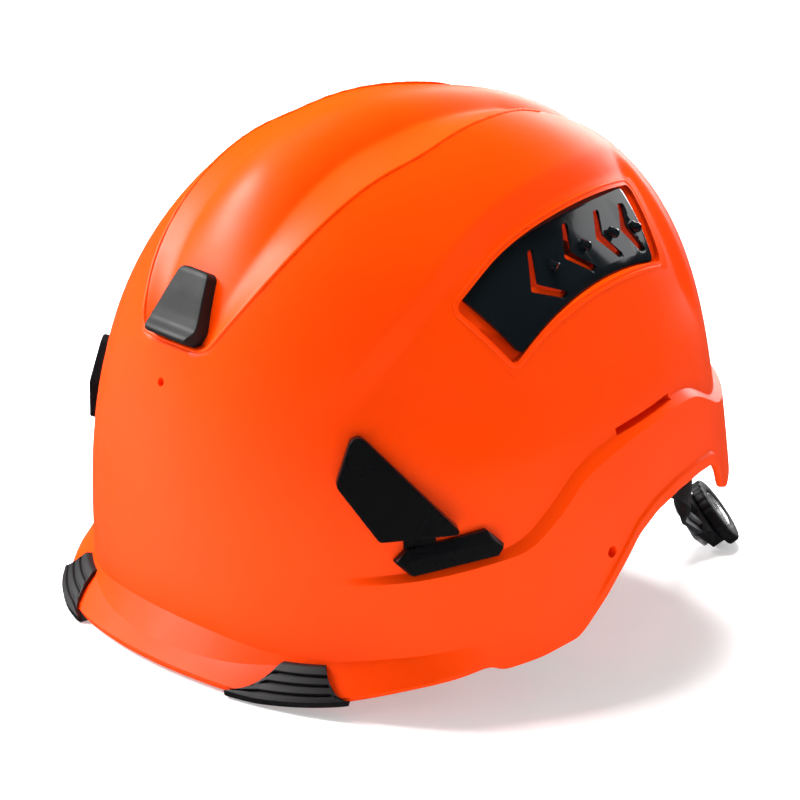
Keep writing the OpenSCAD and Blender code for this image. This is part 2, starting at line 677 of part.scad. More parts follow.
module chin_strap(side) {
    start = [side * (divider_at[0] - 3.4), divider_at[1], divider_at[2] - 6.6];
    stop = [side * (side > 0 ? 17.5 : 17.5), buckle_at[1], buckle_at[2]];
    path = [for (t = [0:0.1:1]) bezier([start, start - [side * 14, 0, 20], stop + [side * 26, 0, -1], stop], t)];
    color(strap_grey) ribbon(path, [0, 1, 0], [0, 1, 0], chin_strap_w, web_t);
}
module chin_adjuster() {
    color(gloss_black) translate([47.6, buckle_at[1] + 2.1, buckle_at[2] - 1.5]) difference() {
        cube([14, chin_strap_w + 7, 5], center = true);
        cube([30, chin_strap_w + 2.4, 3.2], center = true);
    }
}
module buckle_socket() {
    color(gloss_black) translate(buckle_at) difference() {
        translate([-8, 0, 0]) cube([18, 23, 8], center = true);
        translate([-6, 0, 0]) cube([20, 17, 4.4], center = true);
        translate([-8, 0, 4]) cube([8.8, 9.8, 6], center = true);
    }
}
module buckle_prong() {
    color(gloss_black) translate(buckle_at) {
        translate([9.2, 0, 0]) cube([14, 23, 7], center = true);
        for (side = [-1, 1]) translate([-4, side * 6.4, 0]) cube([16, 3, 3.4], center = true);
    }
}
module buckle_button() {
    color(clip_grey) translate(buckle_at + [-8, 0, 3.1]) cube([8, 9, 2.2], center = true);
}

stand() shell();
stand() end_clip(0, 136);  // front_lamp_clip
stand() end_clip(180, 122);  // rear_lamp_clip
stand() side_clip(1);  // left_lamp_clip
stand() side_clip(-1);  // right_lamp_clip
stand() brim_bumper(1);  // left_brim_bumper
stand() brim_bumper(-1);  // right_brim_bumper
stand() on_axis() vent_shutter();  // left_vent_shutter
stand() right_side() on_axis() vent_shutter();  // right_vent_shutter
stand() front_headband();
stand() forehead_pad();
stand() band_hangers();
stand() strap_anchors();
stand() crown_strap(38, -142, 0);  // crown_strap_left
stand() crown_strap(-38, 142, 1.8);  // crown_strap_right
stand() crown_strap(90, -90, 3.6);  // crown_strap_side
stand() crown_pad();
stand() pivot_pin(1);  // left_pivot_pin
stand() pivot_pin(-1);  // right_pivot_pin
stand() cradle_arm(0);  // left_cradle_arm
stand() cradle_arm(1);  // right_cradle_arm
stand() nape_housing();
stand() nape_cover();
stand() cover_screws();
stand() nape_pad();
stand() rack(0);  // left_rack
stand() rack(1);  // right_rack
stand() dial_pinion();
stand() dial_knob();
stand() dial_cap();
stand() dial_pawl();
stand() leg_anchors();
stand() leg(1, 66);  // left_front_leg
stand() leg(1, 121);  // left_rear_leg
stand() leg(-1, 66);  // right_front_leg
stand() leg(-1, 121);  // right_rear_leg
stand() divider(1);  // left_divider
stand() divider(-1);  // right_divider
stand() chin_strap(1);  // left_chin_strap
stand() chin_strap(-1);  // right_chin_strap
stand() chin_adjuster();
stand() buckle_prong();
stand() buckle_socket();
stand() buckle_button();
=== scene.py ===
"""Climbing helmet: its fine shell, fittings, webbing and pads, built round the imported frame.

Shapes are worked out in millimetres on the upright helmet (front towards -Y, wearer's left towards +X,
z = 0 at the brim) and then stood on its brim bumpers. The driving values are the CAD's, apart from the
few that a comment says are finer here."""
import math

import bpy
import numpy as np
from mathutils import Matrix, Vector
from mathutils.bvhtree import BVHTree
from mathutils.geometry import delaunay_2d_cdt

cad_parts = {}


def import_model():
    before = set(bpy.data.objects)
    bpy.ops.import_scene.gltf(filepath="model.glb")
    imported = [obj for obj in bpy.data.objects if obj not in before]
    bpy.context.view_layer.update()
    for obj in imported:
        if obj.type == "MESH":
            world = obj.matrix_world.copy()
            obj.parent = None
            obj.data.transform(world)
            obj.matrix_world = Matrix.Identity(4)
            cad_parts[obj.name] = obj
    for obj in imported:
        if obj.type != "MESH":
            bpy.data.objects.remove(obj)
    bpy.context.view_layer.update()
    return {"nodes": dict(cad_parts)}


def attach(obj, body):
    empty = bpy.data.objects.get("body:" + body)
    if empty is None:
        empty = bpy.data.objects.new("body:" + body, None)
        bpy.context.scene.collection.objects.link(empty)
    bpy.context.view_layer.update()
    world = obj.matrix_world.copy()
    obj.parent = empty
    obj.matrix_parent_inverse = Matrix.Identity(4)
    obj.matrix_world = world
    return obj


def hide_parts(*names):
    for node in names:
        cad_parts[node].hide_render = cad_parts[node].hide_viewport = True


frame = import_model()
scene = bpy.context.scene

MM = 0.001
STAND_TILT = 14.1
STAND_Y = -29.6
STAND_Z = 30.26


# ---- small helpers ----
def sd(a):
    return np.sin(np.radians(a))


def cd(a):
    return np.cos(np.radians(a))


def clamp01(t):
    return np.clip(t, 0, 1)


def ease(t):
    c = clamp01(t)
    return c * c * (3 - 2 * c)


def rise(a, b, v):
    return ease((v - a) / (b - a))


def mix(a, b, t):
    return a + (b - a) * t


def signed_power(v, power):
    return np.sign(v) * abs(v) ** power


def unit(v):
    v = np.asarray(v, float)
    return v / np.linalg.norm(v, axis=-1, keepdims=True)


def flat_to(v, axis):
    v = np.asarray(v, float)
    return unit(v - axis * (v @ axis))


def bezier(p, t):
    return (1 - t) ** 3 * p[0] + 3 * (1 - t) ** 2 * t * p[1] + 3 * (1 - t) * t * t * p[2] + t**3 * p[3]


def sided(name, side):
    return ("left_" if side > 0 else "right_") + name


TILT = np.array([[1, 0, 0], [0, cd(STAND_TILT), -sd(STAND_TILT)], [0, sd(STAND_TILT), cd(STAND_TILT)]])
FOOT = np.array([0, STAND_Y, STAND_Z])


def stood(points):
    """Upright helmet millimetres to the shared frame's metres."""
    p = np.asarray(points, float)
    y = p[..., 1] * cd(STAND_TILT) - p[..., 2] * sd(STAND_TILT) + STAND_Y
    z = p[..., 1] * sd(STAND_TILT) + p[..., 2] * cd(STAND_TILT) + STAND_Z
    return np.stack([p[..., 0], y, z], -1) * MM


def upright(points):
    """The shared frame's metres to upright helmet millimetres."""
    return (np.asarray(points) / MM - FOOT) @ TILT


# ---- camera ----
CAM_TARGET = (0, STAND_Y + 4.19, STAND_Z + 41.13)
CAM_AZ = 46.08
CAM_EL = 16.09
CAM_ROLL = 5.78
CAM_DISTANCE = 1399.92
CAM_LENS = 159.53


def camera():
    back = Vector((sd(CAM_AZ) * cd(CAM_EL), -cd(CAM_AZ) * cd(CAM_EL), sd(CAM_EL)))
    right = Vector((cd(CAM_AZ), sd(CAM_AZ), 0))
    up = back.cross(right)
    turned_right = right * cd(CAM_ROLL) + up * sd(CAM_ROLL)
    turned_up = up * cd(CAM_ROLL) - right * sd(CAM_ROLL)
    data = bpy.data.cameras.new("camera")
    data.lens = CAM_LENS
    data.sensor_width = 36
    data.shift_x = -0.0328
    data.shift_y = 0.0455
    data.clip_start = 0.05
    data.clip_end = 40
    obj = bpy.data.objects.new("camera", data)
    scene.collection.objects.link(obj)
    at = Vector(CAM_TARGET) * MM + back * CAM_DISTANCE * MM
    turn = Matrix((turned_right, turned_up, back)).transposed().to_4x4()
    obj.matrix_world = Matrix.Translation(at) @ turn
    scene.camera = obj


camera()


# ---- materials ----
def link(tree, a, b):
    tree.links.new(a, b)


def node(tree, kind, **values):
    n = tree.nodes.new(kind)
    for key, value in values.items():
        if hasattr(n, key):
            setattr(n, key, value)
        else:
            n.inputs[key.replace("_", " ")].default_value = value
    return n


def noise(tree, coord, scale, detail=2.0, roughness=0.5):
    n = node(tree, "ShaderNodeTexNoise", Scale=scale, Detail=detail, Roughness=roughness)
    link(tree, coord, n.inputs["Vector"])
    return n.outputs["Fac"]


def span(tree, value, low, high, from_low=0.3, from_high=0.7):
    n = node(tree, "ShaderNodeMapRange")
    for key, v in (("From Min", from_low), ("From Max", from_high), ("To Min", low), ("To Max", high)):
        n.inputs[key].default_value = v
    link(tree, value, n.inputs["Value"])
    return n.outputs["Result"]


def calc(tree, operation, a, b=None):
    n = node(tree, "ShaderNodeMath", operation=operation)
    for i, v in enumerate((a, b)):
        if v is None:
            continue
        if isinstance(v, (int, float)):
            n.inputs[i].default_value = v
        else:
            link(tree, v, n.inputs[i])
    return n.outputs[0]


def started(name, specular=0.5, coat=0.0, coat_rough=0.1, metallic=0.0, sheen=0.0):
    m = bpy.data.materials.new(name)
    m.use_nodes = True
    tree = m.node_tree
    shader = tree.nodes["Principled BSDF"]
    shader.inputs["Specular IOR Level"].default_value = specular
    shader.inputs["Coat Weight"].default_value = coat
    shader.inputs["Coat Roughness"].default_value = coat_rough
    shader.inputs["Metallic"].default_value = metallic
    shader.inputs["Sheen Weight"].default_value = sheen
    coord = node(tree, "ShaderNodeTexCoord").outputs["Object"]
    return m, tree, shader, coord


def tinted(tree, shader, factor, low, high):
    n = node(tree, "ShaderNodeMix", data_type="RGBA")
    n.inputs[6].default_value = (*low, 1)
    n.inputs[7].default_value = (*high, 1)
    link(tree, factor, n.inputs[0])
    link(tree, n.outputs[2], shader.inputs["Base Color"])


def bumped(tree, shader, height, strength, distance):
    n = node(tree, "ShaderNodeBump", Strength=strength, Distance=distance)
    link(tree, height, n.inputs["Height"])
    link(tree, n.outputs["Normal"], shader.inputs["Normal"])


def moulded(name, dark, light, rough, grain=900.0, depth=0.00004, **kwargs):
    """Moulded plastic or rubber: a fine grain, and colour and gloss that drift slowly over the surface."""
    m, tree, shader, coord = started(name, **kwargs)
    tinted(tree, shader, span(tree, noise(tree, coord, 14.0, 4.0), 0, 1), dark, light)
    mottle = noise(tree, coord, 60.0, 5.0, 0.6)
    link(tree, span(tree, mottle, rough[0], rough[1]), shader.inputs["Roughness"])
    bumped(tree, shader, noise(tree, coord, grain, 3.0, 0.6), 0.5, depth)
    return m


def woven(name, dark, light):
    """Flat webbing: warp ribs along the strap and a fine weft across, from the ribbon's own UV in mm."""
    m, tree, shader, coord = started(name, specular=0.25, sheen=0.3)
    uv = node(tree, "ShaderNodeTexCoord").outputs["UV"]
    parts = node(tree, "ShaderNodeSeparateXYZ")
    link(tree, uv, parts.inputs[0])
    across = calc(tree, "SINE", calc(tree, "MULTIPLY", parts.outputs[0], 2 * math.pi / 1.7))
    shift = calc(tree, "MULTIPLY", calc(tree, "SIGN", across), 0.6)
    along_at = calc(tree, "ADD", parts.outputs[1], shift)
    along = calc(tree, "SINE", calc(tree, "MULTIPLY", along_at, 2 * math.pi / 2.4))
    weave = calc(tree, "MULTIPLY", calc(tree, "ABSOLUTE", across), calc(tree, "ADD", along, 1.6))
    fuzz = noise(tree, coord, 2600.0, 2.0)
    height = calc(tree, "ADD", weave, fuzz)
    tinted(tree, shader, span(tree, height, 0, 1, 0.2, 2.8), dark, light)
    link(tree, span(tree, fuzz, 0.75, 0.95), shader.inputs["Roughness"])
    bumped(tree, shader, height, 0.6, 0.00018)
    return m


def knitted(name, dark, light):
    """Spacer-mesh cover over foam: small round cells between raised yarns."""
    m, tree, shader, coord = started(name, specular=0.2, sheen=0.5)
    cells = node(tree, "ShaderNodeTexVoronoi", feature="F1", Scale=520.0, Randomness=0.35)
    link(tree, coord, cells.inputs["Vector"])
    fuzz = noise(tree, coord, 2400.0, 2.0)
    height = calc(tree, "ADD", cells.outputs["Distance"], calc(tree, "MULTIPLY", fuzz, 0.4))
    tinted(tree, shader, span(tree, height, 0, 1, 0.2, 0.9), dark, light)
    link(tree, span(tree, fuzz, 0.82, 0.98), shader.inputs["Roughness"])
    bumped(tree, shader, height, 0.7, 0.0004)
    return m


def turned_metal(name, centre):
    """Satin metal with fine rings about a centre, as left by turning."""
    m, tree, shader, coord = started(name, metallic=1.0)
    away = node(tree, "ShaderNodeVectorMath", operation="DISTANCE")
    link(tree, coord, away.inputs[0])
    away.inputs[1].default_value = centre
    rings = noise(tree, coord, 180.0, 2.0)
    turns = calc(tree, "SINE", calc(tree, "MULTIPLY", away.outputs["Value"], 2 * math.pi / 0.00045))
    tinted(tree, shader, span(tree, rings, 0, 1), (0.52, 0.52, 0.53), (0.74, 0.73, 0.72))
    link(tree, span(tree, rings, 0.2, 0.34), shader.inputs["Roughness"])
    bumped(tree, shader, turns, 0.1, 0.00001)
    return m


ORANGE = moulded("orange_abs", (0.90, 0.050, 0.0), (0.94, 0.057, 0.0), (0.36, 0.44), 700.0, 0.00003,
                 specular=0.08)
CHARCOAL = moulded("charcoal_nylon", (0.009, 0.009, 0.009), (0.014, 0.014, 0.0135), (0.48, 0.58), 1500.0,
                   0.00008, specular=0.14)
BLACK_PLATE = moulded("black_nylon", (0.0035, 0.0038, 0.0045), (0.006, 0.006, 0.007), (0.24, 0.34), 1800.0,
                      0.00004, specular=0.3)
RUBBER = moulded("black_rubber", (0.006, 0.006, 0.007), (0.010, 0.010, 0.011), (0.5, 0.62), 1200.0,
                 0.00012, specular=0.25)
GLOSS = moulded("gloss_black", (0.004, 0.006, 0.008), (0.006, 0.009, 0.011), (0.08, 0.15), 90.0, 0.00004,
                specular=0.6, coat=0.5, coat_rough=0.05)
BAND = moulded("band_polymer", (0.018, 0.019, 0.021), (0.030, 0.031, 0.034), (0.42, 0.55), 1300.0, 0.0001)
ANCHOR = moulded("anchor_nylon", (0.020, 0.021, 0.022), (0.034, 0.034, 0.035), (0.4, 0.5), 1300.0, 0.0001)
ACETAL = moulded("grey_acetal", (0.050, 0.052, 0.055), (0.075, 0.077, 0.080), (0.28, 0.38), 900.0, 0.00004)
BUCKLE = moulded("buckle_black", (0.008, 0.008, 0.009), (0.014, 0.014, 0.015), (0.28, 0.4), 1400.0, 0.00008)
STEEL = moulded("steel", (0.50, 0.50, 0.51), (0.66, 0.66, 0.66), (0.24, 0.38), 500.0, 0.00003, metallic=1.0)
WEBBING = woven("webbing", (0.012, 0.013, 0.015), (0.055, 0.058, 0.064))
MESH = knitted("pad_mesh", (0.020, 0.021, 0.024), (0.085, 0.090, 0.098))
THREAD = moulded("thread", (0.10, 0.10, 0.105), (0.16, 0.16, 0.165), (0.7, 0.85), 2500.0, 0.0001, sheen=0.3)


# ---- mesh building ----
def signed_volume(verts, faces):
    total = 0.0
    for f in faces:
        a = verts[f[0]]
        for i in range(1, len(f) - 1):
            total += np.dot(a, np.cross(verts[f[i]], verts[f[i + 1]]))
    return total


def outward(part):
    verts, faces = part
    if signed_volume(verts, faces) < 0:
        faces = [tuple(reversed(f)) for f in faces]
    return verts, faces


def merged(*parts):
    verts, faces, base = [], [], 0
    for v, f in parts:
        verts.append(np.asarray(v, float))
        faces += [tuple(i + base for i in face) for face in f]
        base += len(v)
    return np.concatenate(verts), faces


def mirrored(part):
    verts, faces = part
    return verts * np.array([-1.0, 1, 1]), [tuple(reversed(f)) for f in faces]


def on_side(part, side):
    return mirrored(part) if side < 0 else part


def ring_quads(rows, n, closed=True):
    last = n if closed else n - 1
    return [(j * n + i, (j + 1) * n + i, (j + 1) * n + (i + 1) % n, j * n + (i + 1) % n)
            for j in range(rows - 1) for i in range(last)]


def capped_faces(rows, n):
    """Faces over rings of n points, with a fan to one more point at each end."""
    last = (rows - 1) * n
    faces = ring_quads(rows, n)
    faces += [(rows * n, i, (i + 1) % n) for i in range(n)]
    faces += [(rows * n + 1, last + (i + 1) % n, last + i) for i in range(n)]
    return faces


def tube(rings):
    """Closed solid through rings with the same number of points, each end closed by a fan."""
    rings = np.asarray(rings, float)
    m, n = rings.shape[:2]
    verts = np.concatenate([rings.reshape(-1, 3), rings[0].mean(0)[None], rings[-1].mean(0)[None]])
    return outward((verts, capped_faces(m, n)))


def revolved(profile, place, steps=96, radius=None):
    """Solid turned about local Z from (r, z) points whose first and last lie on the axis."""
    rings = []
    turn = np.arange(steps) * 360 / steps
    for r, z in profile[1:-1]:
        rr = radius(r, turn) if radius else r + 0 * turn
        rings.append(place(np.stack([rr * cd(turn), rr * sd(turn), z + 0 * turn], -1)))
    ends = place(np.array([[0, 0, profile[0][1]], [0, 0, profile[-1][1]]]))
    verts = np.concatenate([np.reshape(rings, (-1, 3)), ends])
    return outward((verts, capped_faces(len(rings), steps)))


def rounded(points, radii, steps=5):
    """Outline with its corners rounded, the same number of points at each corner."""
    pts = np.asarray(points, float)
    n = len(pts)
    radii = [radii] * n if isinstance(radii, (int, float)) else radii
    out = []
    for i in range(n):
        a, b, c = pts[i - 1], pts[i], pts[(i + 1) % n]
        u, v = unit(a - b), unit(c - b)
        half = math.acos(float(np.clip(u @ v, -1, 1))) / 2
        reach = radii[i] / math.tan(half)
        centre = b + unit(u + v) * radii[i] / math.sin(half)
        start, stop = b + u * reach - centre, b + v * reach - centre
        sweep = math.atan2(start[0] * stop[1] - start[1] * stop[0], start @ stop)
        for k in range(steps + 1):
            t = sweep * k / steps
            out.append(centre + [start[0] * math.cos(t) - start[1] * math.sin(t),
                                 start[0] * math.sin(t) + start[1] * math.cos(t)])
    return np.array(out)


def resampled(outline, longest=2.0):
    out = []
    for i in range(len(outline)):
        a, b = outline[i], outline[(i + 1) % len(outline)]
        count = max(1, math.ceil(np.linalg.norm(b - a) / longest))
        out += [mix(a, b, k / count) for k in range(count)]
    return np.array(out)


def inset(outline, by):
    """Moves an anticlockwise outline inwards by a distance (outwards if negative)."""
    ahead = unit(np.roll(outline, -1, 0) - outline)
    behind = unit(outline - np.roll(outline, 1, 0))
    side_a = np.stack([-ahead[:, 1], ahead[:, 0]], -1)
    side_b = np.stack([-behind[:, 1], behind[:, 0]], -1)
    middle = unit(side_a + side_b)
    stretch = by / np.maximum(0.35, (middle * side_a).sum(1))
    return outline + middle * stretch[:, None]


def anticlockwise(outline):
    x, y = outline[:, 0], outline[:, 1]
    area = (x * np.roll(y, -1) - np.roll(x, -1) * y).sum()
    return outline if area > 0 else outline[::-1]


def prism(outline, layers, place):
    """Solid through an outline at (inset, height) layers, with flat fills at both ends."""
    outline = anticlockwise(np.asarray(outline, float))
    n = len(outline)
    rings = []
    for by, h in layers:
        flat = inset(outline, by) if by else outline
        rings.append(place(np.concatenate([flat, np.full((n, 1), float(h))], 1)))
    faces = ring_quads(len(layers), n)
    flat = [Vector((x, y)) for x, y in outline]
    filled = delaunay_2d_cdt(flat, [(i, (i + 1) % n) for i in range(n)], [], 1, 1e-6)
    for face in filled[2]:
        a, b, c = (filled[3][i][0] for i in face)
        faces.append((a, b, c))
        faces.append(tuple(i + (len(layers) - 1) * n for i in (c, b, a)))
    return outward((np.concatenate(rings), faces))


def mesh_object(name, part, material=None, sharp=32, uv=None):
    verts, faces = part
    mesh = bpy.data.meshes.new(name)
    mesh.from_pydata(stood(verts).tolist(), [], [list(map(int, f)) for f in faces])
    mesh.update()
    if uv is not None:
        layer = mesh.uv_layers.new(name="weave")
        index = np.zeros(len(mesh.loops), int)
        mesh.loops.foreach_get("vertex_index", index)
        layer.data.foreach_set("uv", np.asarray(uv, float)[index].ravel())
    obj = bpy.data.objects.new(name, mesh)
    scene.collection.objects.link(obj)
    if material:
        mesh.materials.append(material)
    smooth(obj, sharp)
    return obj


def vertex_values(mesh, key):
    """One row of three numbers for each vertex: co for its place, normal for its normal."""
    values = np.zeros(len(mesh.vertices) * 3)
    mesh.vertices.foreach_get(key, values)
    return values.reshape(-1, 3)


def smooth(obj, sharp=32):
    obj.data.shade_smooth()
    obj.data.set_sharp_from_angle(angle=math.radians(sharp))


def applied(obj):
    """Bakes an object's modifiers into its mesh."""
    graph = bpy.context.evaluated_depsgraph_get()
    graph.update()
    made = bpy.data.meshes.new_from_object(obj.evaluated_get(graph))
    obj.modifiers.clear()
    obj.data = made
    return obj


def boolean(obj, part, operation="DIFFERENCE"):
    tool = mesh_object("tool", part)
    mod = obj.modifiers.new("cut", "BOOLEAN")
    mod.object = tool
    mod.operation = operation
    mod.solver = "MANIFOLD"
    applied(obj)
    bpy.data.objects.remove(tool)
    return obj


def fit(obj, body, slot, *nodes):
    """Rides a piece on its body and stands it in for its CAD nodes; its slot argument is not used."""
    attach(obj, body)
    if nodes:
        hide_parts(*nodes)
    return obj


# ---- dome ----
# Finer here than in the CAD: valleys 0.8 mm deeper, and BELT_HIGH nearer to BELT_LOW for a crisp belt edge
HALF_WIDTH, FRONT_REACH, REAR_REACH, CROWN_H = 107.5, 119.5, 137.0, 187.0
WALL, BRIM_REACH, BELT_RELIEF, VALLEY_DEPTH, PANEL_DEPTH = 2.8, 17.0, 3.2, 4.4, 3.4
RIDGE_POWER, REAR_TAPER = 1.8, 13.0
RIDGE_HALF, RIDGE_FRONT_Y, RIDGE_SPREAD = 38.5, -116, 22
TAPER_FROM_Y, TAPER_RUN = -20, 75
PLAN_N, SIDE_P, FRONT_P, REAR_P = 2.11, 2.73, 3.0, 5.0
DOME_Q, CROWN_SHIFT, CROWN_ROUND = 1.5, -13.5, 0.14
CORNER_EASE, TOE_REACH, TOE_Z = 0.12, 8.0, 100.0
RHO_SPAN = (1 + CROWN_ROUND**2) ** (DOME_Q / 2) - CROWN_ROUND**DOME_Q
BRIM_END = 64.0
BRIM_CREASE_Z = 13.0
RIM_LINE = ((0, 6), (12, 5), (24, 3), (56, 2.5), (62, 3), (65, -0.5), (74, -2), (83, -1.5), (86, 2),
            (93.5, 14.5), (102, 27.5), (108, 32), (116, 34), (124, 33), (131, 30), (133.5, 25),
            (136.5, 13), (140, 9), (150, 8), (180, 8))
BELT_LOW = ((0, 44), (68, 42), (74, 41.5), (82, 49), (90, 59), (96, 62), (107, 65), (120, 65.5),
            (128, 63), (140, 46), (150, 42), (180, 41))
BELT_HIGH = ((0, 47), (68, 44.5), (74, 45.5), (82, 54), (90, 63.5), (96, 66.6), (107, 68.5), (120, 69),
             (128, 66.5), (140, 49.5), (150, 44.5), (180, 43.5))


def wrap(phi):
    return (np.asarray(phi, float) + 180) % 360 - 180


def line_z(line, phi, spread=0.0):
    """Height of a rim or belt line at an azimuth, its corners rounded over a spread of azimuth."""
    xs, zs = zip(*line)
    shifts = np.linspace(-1, 1, 9) * spread
    return np.mean([np.interp(abs(wrap(phi + s)), xs, zs) for s in shifts], 0)


def rim_z(phi):
    return line_z(RIM_LINE, phi, 1.2)


def belt_low_z(phi):
    return line_z(BELT_LOW, phi, 3.0)


def belt_high_z(phi):
    return line_z(BELT_HIGH, phi, 3.0)


def skin(phi, z):
    phi, z = np.asarray(phi, float), np.asarray(z, float)
    reach = np.where(cd(phi) > 0, FRONT_REACH, REAR_REACH)
    plan = (np.abs(sd(phi) / HALF_WIDTH) ** PLAN_N + np.abs(cd(phi) / reach) ** PLAN_N) ** (-1 / PLAN_N)
    power = SIDE_P + (np.where(cd(phi) > 0, FRONT_P, REAR_P) - SIDE_P) * cd(phi) ** 2
    power = power - np.where(cd(phi) > 0, CORNER_EASE * sd(2 * phi) ** 2, 0)
    gap = RHO_SPAN * (1 - clamp01(z / CROWN_H) ** power) + CROWN_ROUND**DOME_Q
    rho = np.sqrt(np.maximum(0, gap ** (2 / DOME_Q) - CROWN_ROUND**2))
    away = np.abs(wrap(phi)) / BRIM_END
    flare = np.where(away < 1, BRIM_REACH * np.clip(1 - away**2, 0, 1) ** 1.1, 0)
    drop = clamp01((BRIM_CREASE_Z - z) / (BRIM_CREASE_Z - line_z(RIM_LINE, phi)))
    side = np.abs(wrap(phi))
    toe = TOE_REACH * rise(5, 40, side) * (1 - rise(50, 85, side)) * (1 - clamp01(z / TOE_Z)) ** 1.3
    r = plan * rho + flare * drop + toe
    return np.stack([r * sd(phi), -r * cd(phi) + CROWN_SHIFT * clamp01(z / CROWN_H) ** 1.5, z + 0 * r], -1)


def skin_normal(phi, z):
    zc = np.minimum(z, CROWN_H - 1.2)
    return unit(np.cross(skin(phi + 1, zc) - skin(phi - 1, zc), skin(phi, zc + 0.6) - skin(phi, zc - 0.6)))


# Frame of a vent shutter: distances rho from this axis, turns from straight up towards the back.
# The shutters, their recesses and their slots sit about 1.2 degrees further back than in the CAD.
AXIS_AT = np.array([82.5, 38.0, -5.0])
AXIS_YAW = 10.2
AXIS_DIR = np.array([cd(AXIS_YAW), sd(AXIS_YAW), 0])
AXIS_BACK = np.array([-sd(AXIS_YAW), cd(AXIS_YAW), 0])
SHUTTER_IN, SHUTTER_OUT, SHUTTER_FRONT, SHUTTER_ARC = 122.5, 148.5, -23.2, 41.0
SHUTTER_T, SHUTTER_GAP, SHUTTER_TRAVEL = 1.8, 0.35, 2.0
PANEL_IN, PANEL_OUT = 155.0, 162.0
PAN_FLOOR, PAN_BACK = 3.4, 6.0
SPINE_SPLIT, SPINE_RISE_Y = 0.62, (-92, -50)
LIP_Z, VALLEY_REAR_Z = 122.0, (95, 125)
PANEL_REAR, PANEL_Z, PANEL_TURN = (55, 62), (72, 100), (-52, -38)
BELT_FADE = (36, 52)
EAR_LIP, EAR_LIP_FROM, EAR_LIP_RUN = 0.9, 4.4, 1.4


def ridge_x(y):
    """How far the valleys' outer ridges stand from the middle."""
    half = RIDGE_HALF * (1 - np.exp(-np.maximum(y - RIDGE_FRONT_Y, 2) / RIDGE_SPREAD))
    return half - REAR_TAPER * clamp01((y - TAPER_FROM_Y) / TAPER_RUN) ** 1.5


def relief(p, phi, z):
    """How far the surface stands out from the plain dome: valleys, side panels, belt and rim lip."""
    x, y = np.abs(p[..., 0]), p[..., 1]
    xi = x / ridge_x(y)
    reach = np.where(y < 0, rise(LIP_Z, LIP_Z + 3, p[..., 2]), rise(*VALLEY_REAR_Z, p[..., 2]))
    centre = -VALLEY_DEPTH * (1 - rise(*SPINE_RISE_Y, y))
    inner_part = mix(centre, -VALLEY_DEPTH, np.minimum(xi / SPINE_SPLIT, 1) ** 2)
    slope = clamp01((xi - SPINE_SPLIT) / (1 - SPINE_SPLIT))
    outer_part = -VALLEY_DEPTH * (1 - slope**RIDGE_POWER)
    valleys = reach * np.where(xi < SPINE_SPLIT, inner_part, outer_part)
    q = np.stack([x, y, p[..., 2]], -1) - AXIS_AT
    v, w = q @ AXIS_BACK, q[..., 2]
    rho, turn = np.hypot(v, w), np.degrees(np.arctan2(v, w))
    panel = -PANEL_DEPTH * (1 - clamp01((rho - PANEL_IN) / (PANEL_OUT - PANEL_IN)))
    panel = panel * (1 - rise(*PANEL_REAR, v)) * rise(*PANEL_Z, p[..., 2]) * rise(*PANEL_TURN, turn)
    low, high = belt_low_z(phi), belt_high_z(phi)
    ramp = clamp01((z - low) / (high - low))
    ramp = mix(ramp, ease(ramp), 0.1)
    side = np.abs(wrap(phi))
    belt = BELT_RELIEF * rise(*BELT_FADE, side) * (1 - ramp)
    lip = EAR_LIP * (1 - clamp01((z - rim_z(phi) - EAR_LIP_FROM) / EAR_LIP_RUN))
    lip = lip * rise(86, 92, side) * (1 - rise(133, 137, side))
    return valleys + panel + belt + lip


def outer(phi, z):
    phi, z = np.asarray(phi, float), np.asarray(z, float)
    p = skin(phi, z)
    return p + skin_normal(phi, z) * relief(p, phi, z)[..., None]


def inner(phi, z, wall=WALL):
    return outer(phi, z) - wall * skin_normal(phi, z)


def placed(phi, z):
    """Frame on the shell: X along the azimuth, Y up the surface, Z outward."""
    n = skin_normal(phi, z)
    h = unit(np.cross([0, 0, 1], n))
    up = np.cross(n, h)
    low, high = line_z(BELT_LOW, phi), line_z(BELT_HIGH, phi)
    lift = BELT_RELIEF * rise(*BELT_FADE, abs(phi)) * (1 - rise(low, high, z))
    at = skin(phi, z) + n * lift

    def place(points):
        q = np.asarray(points, float)
        return at + q[..., :1] * h + q[..., 1:2] * up + q[..., 2:3] * n

    return place


# ---- shell ----
COLUMNS = 460
ROWS_BRIM, ROWS_SIDE, ROWS_BELT, ROWS_DOME, ROWS_INSIDE = 5, 30, 5, 105, 24
LIP_ROWS = (4.0, 4.4, 4.9, 5.3, 5.8, 6.2)
RIM_ROUND = 1.0


def row_heights(phi):
    """Heights of the outer rows, in one array of rows by columns, with rows along the belt's two edges."""
    low, high = belt_low_z(phi), belt_high_z(phi)
    start = rim_z(phi) + RIM_ROUND
    crease = mix(BRIM_CREASE_Z, mix(rim_z(phi), low, 0.35), rise(50, 70, abs(wrap(phi))))
    rows = [start, start + 1.4] + [rim_z(phi) + h for h in LIP_ROWS]
    rows += [mix(rim_z(phi) + LIP_ROWS[-1], crease, j / ROWS_BRIM) for j in range(1, ROWS_BRIM)]
    rows += [mix(crease, low - 0.5, j / ROWS_SIDE) for j in range(ROWS_SIDE)] + [low - 0.5]
    rows += [mix(low, high, j / ROWS_BELT) for j in range(ROWS_BELT)] + [high, high + 0.5]
    rows += [CROWN_H - (CROWN_H - high - 0.5) * (1 - j / ROWS_DOME) ** 1.8 for j in range(1, ROWS_DOME)]
    return np.array(rows)


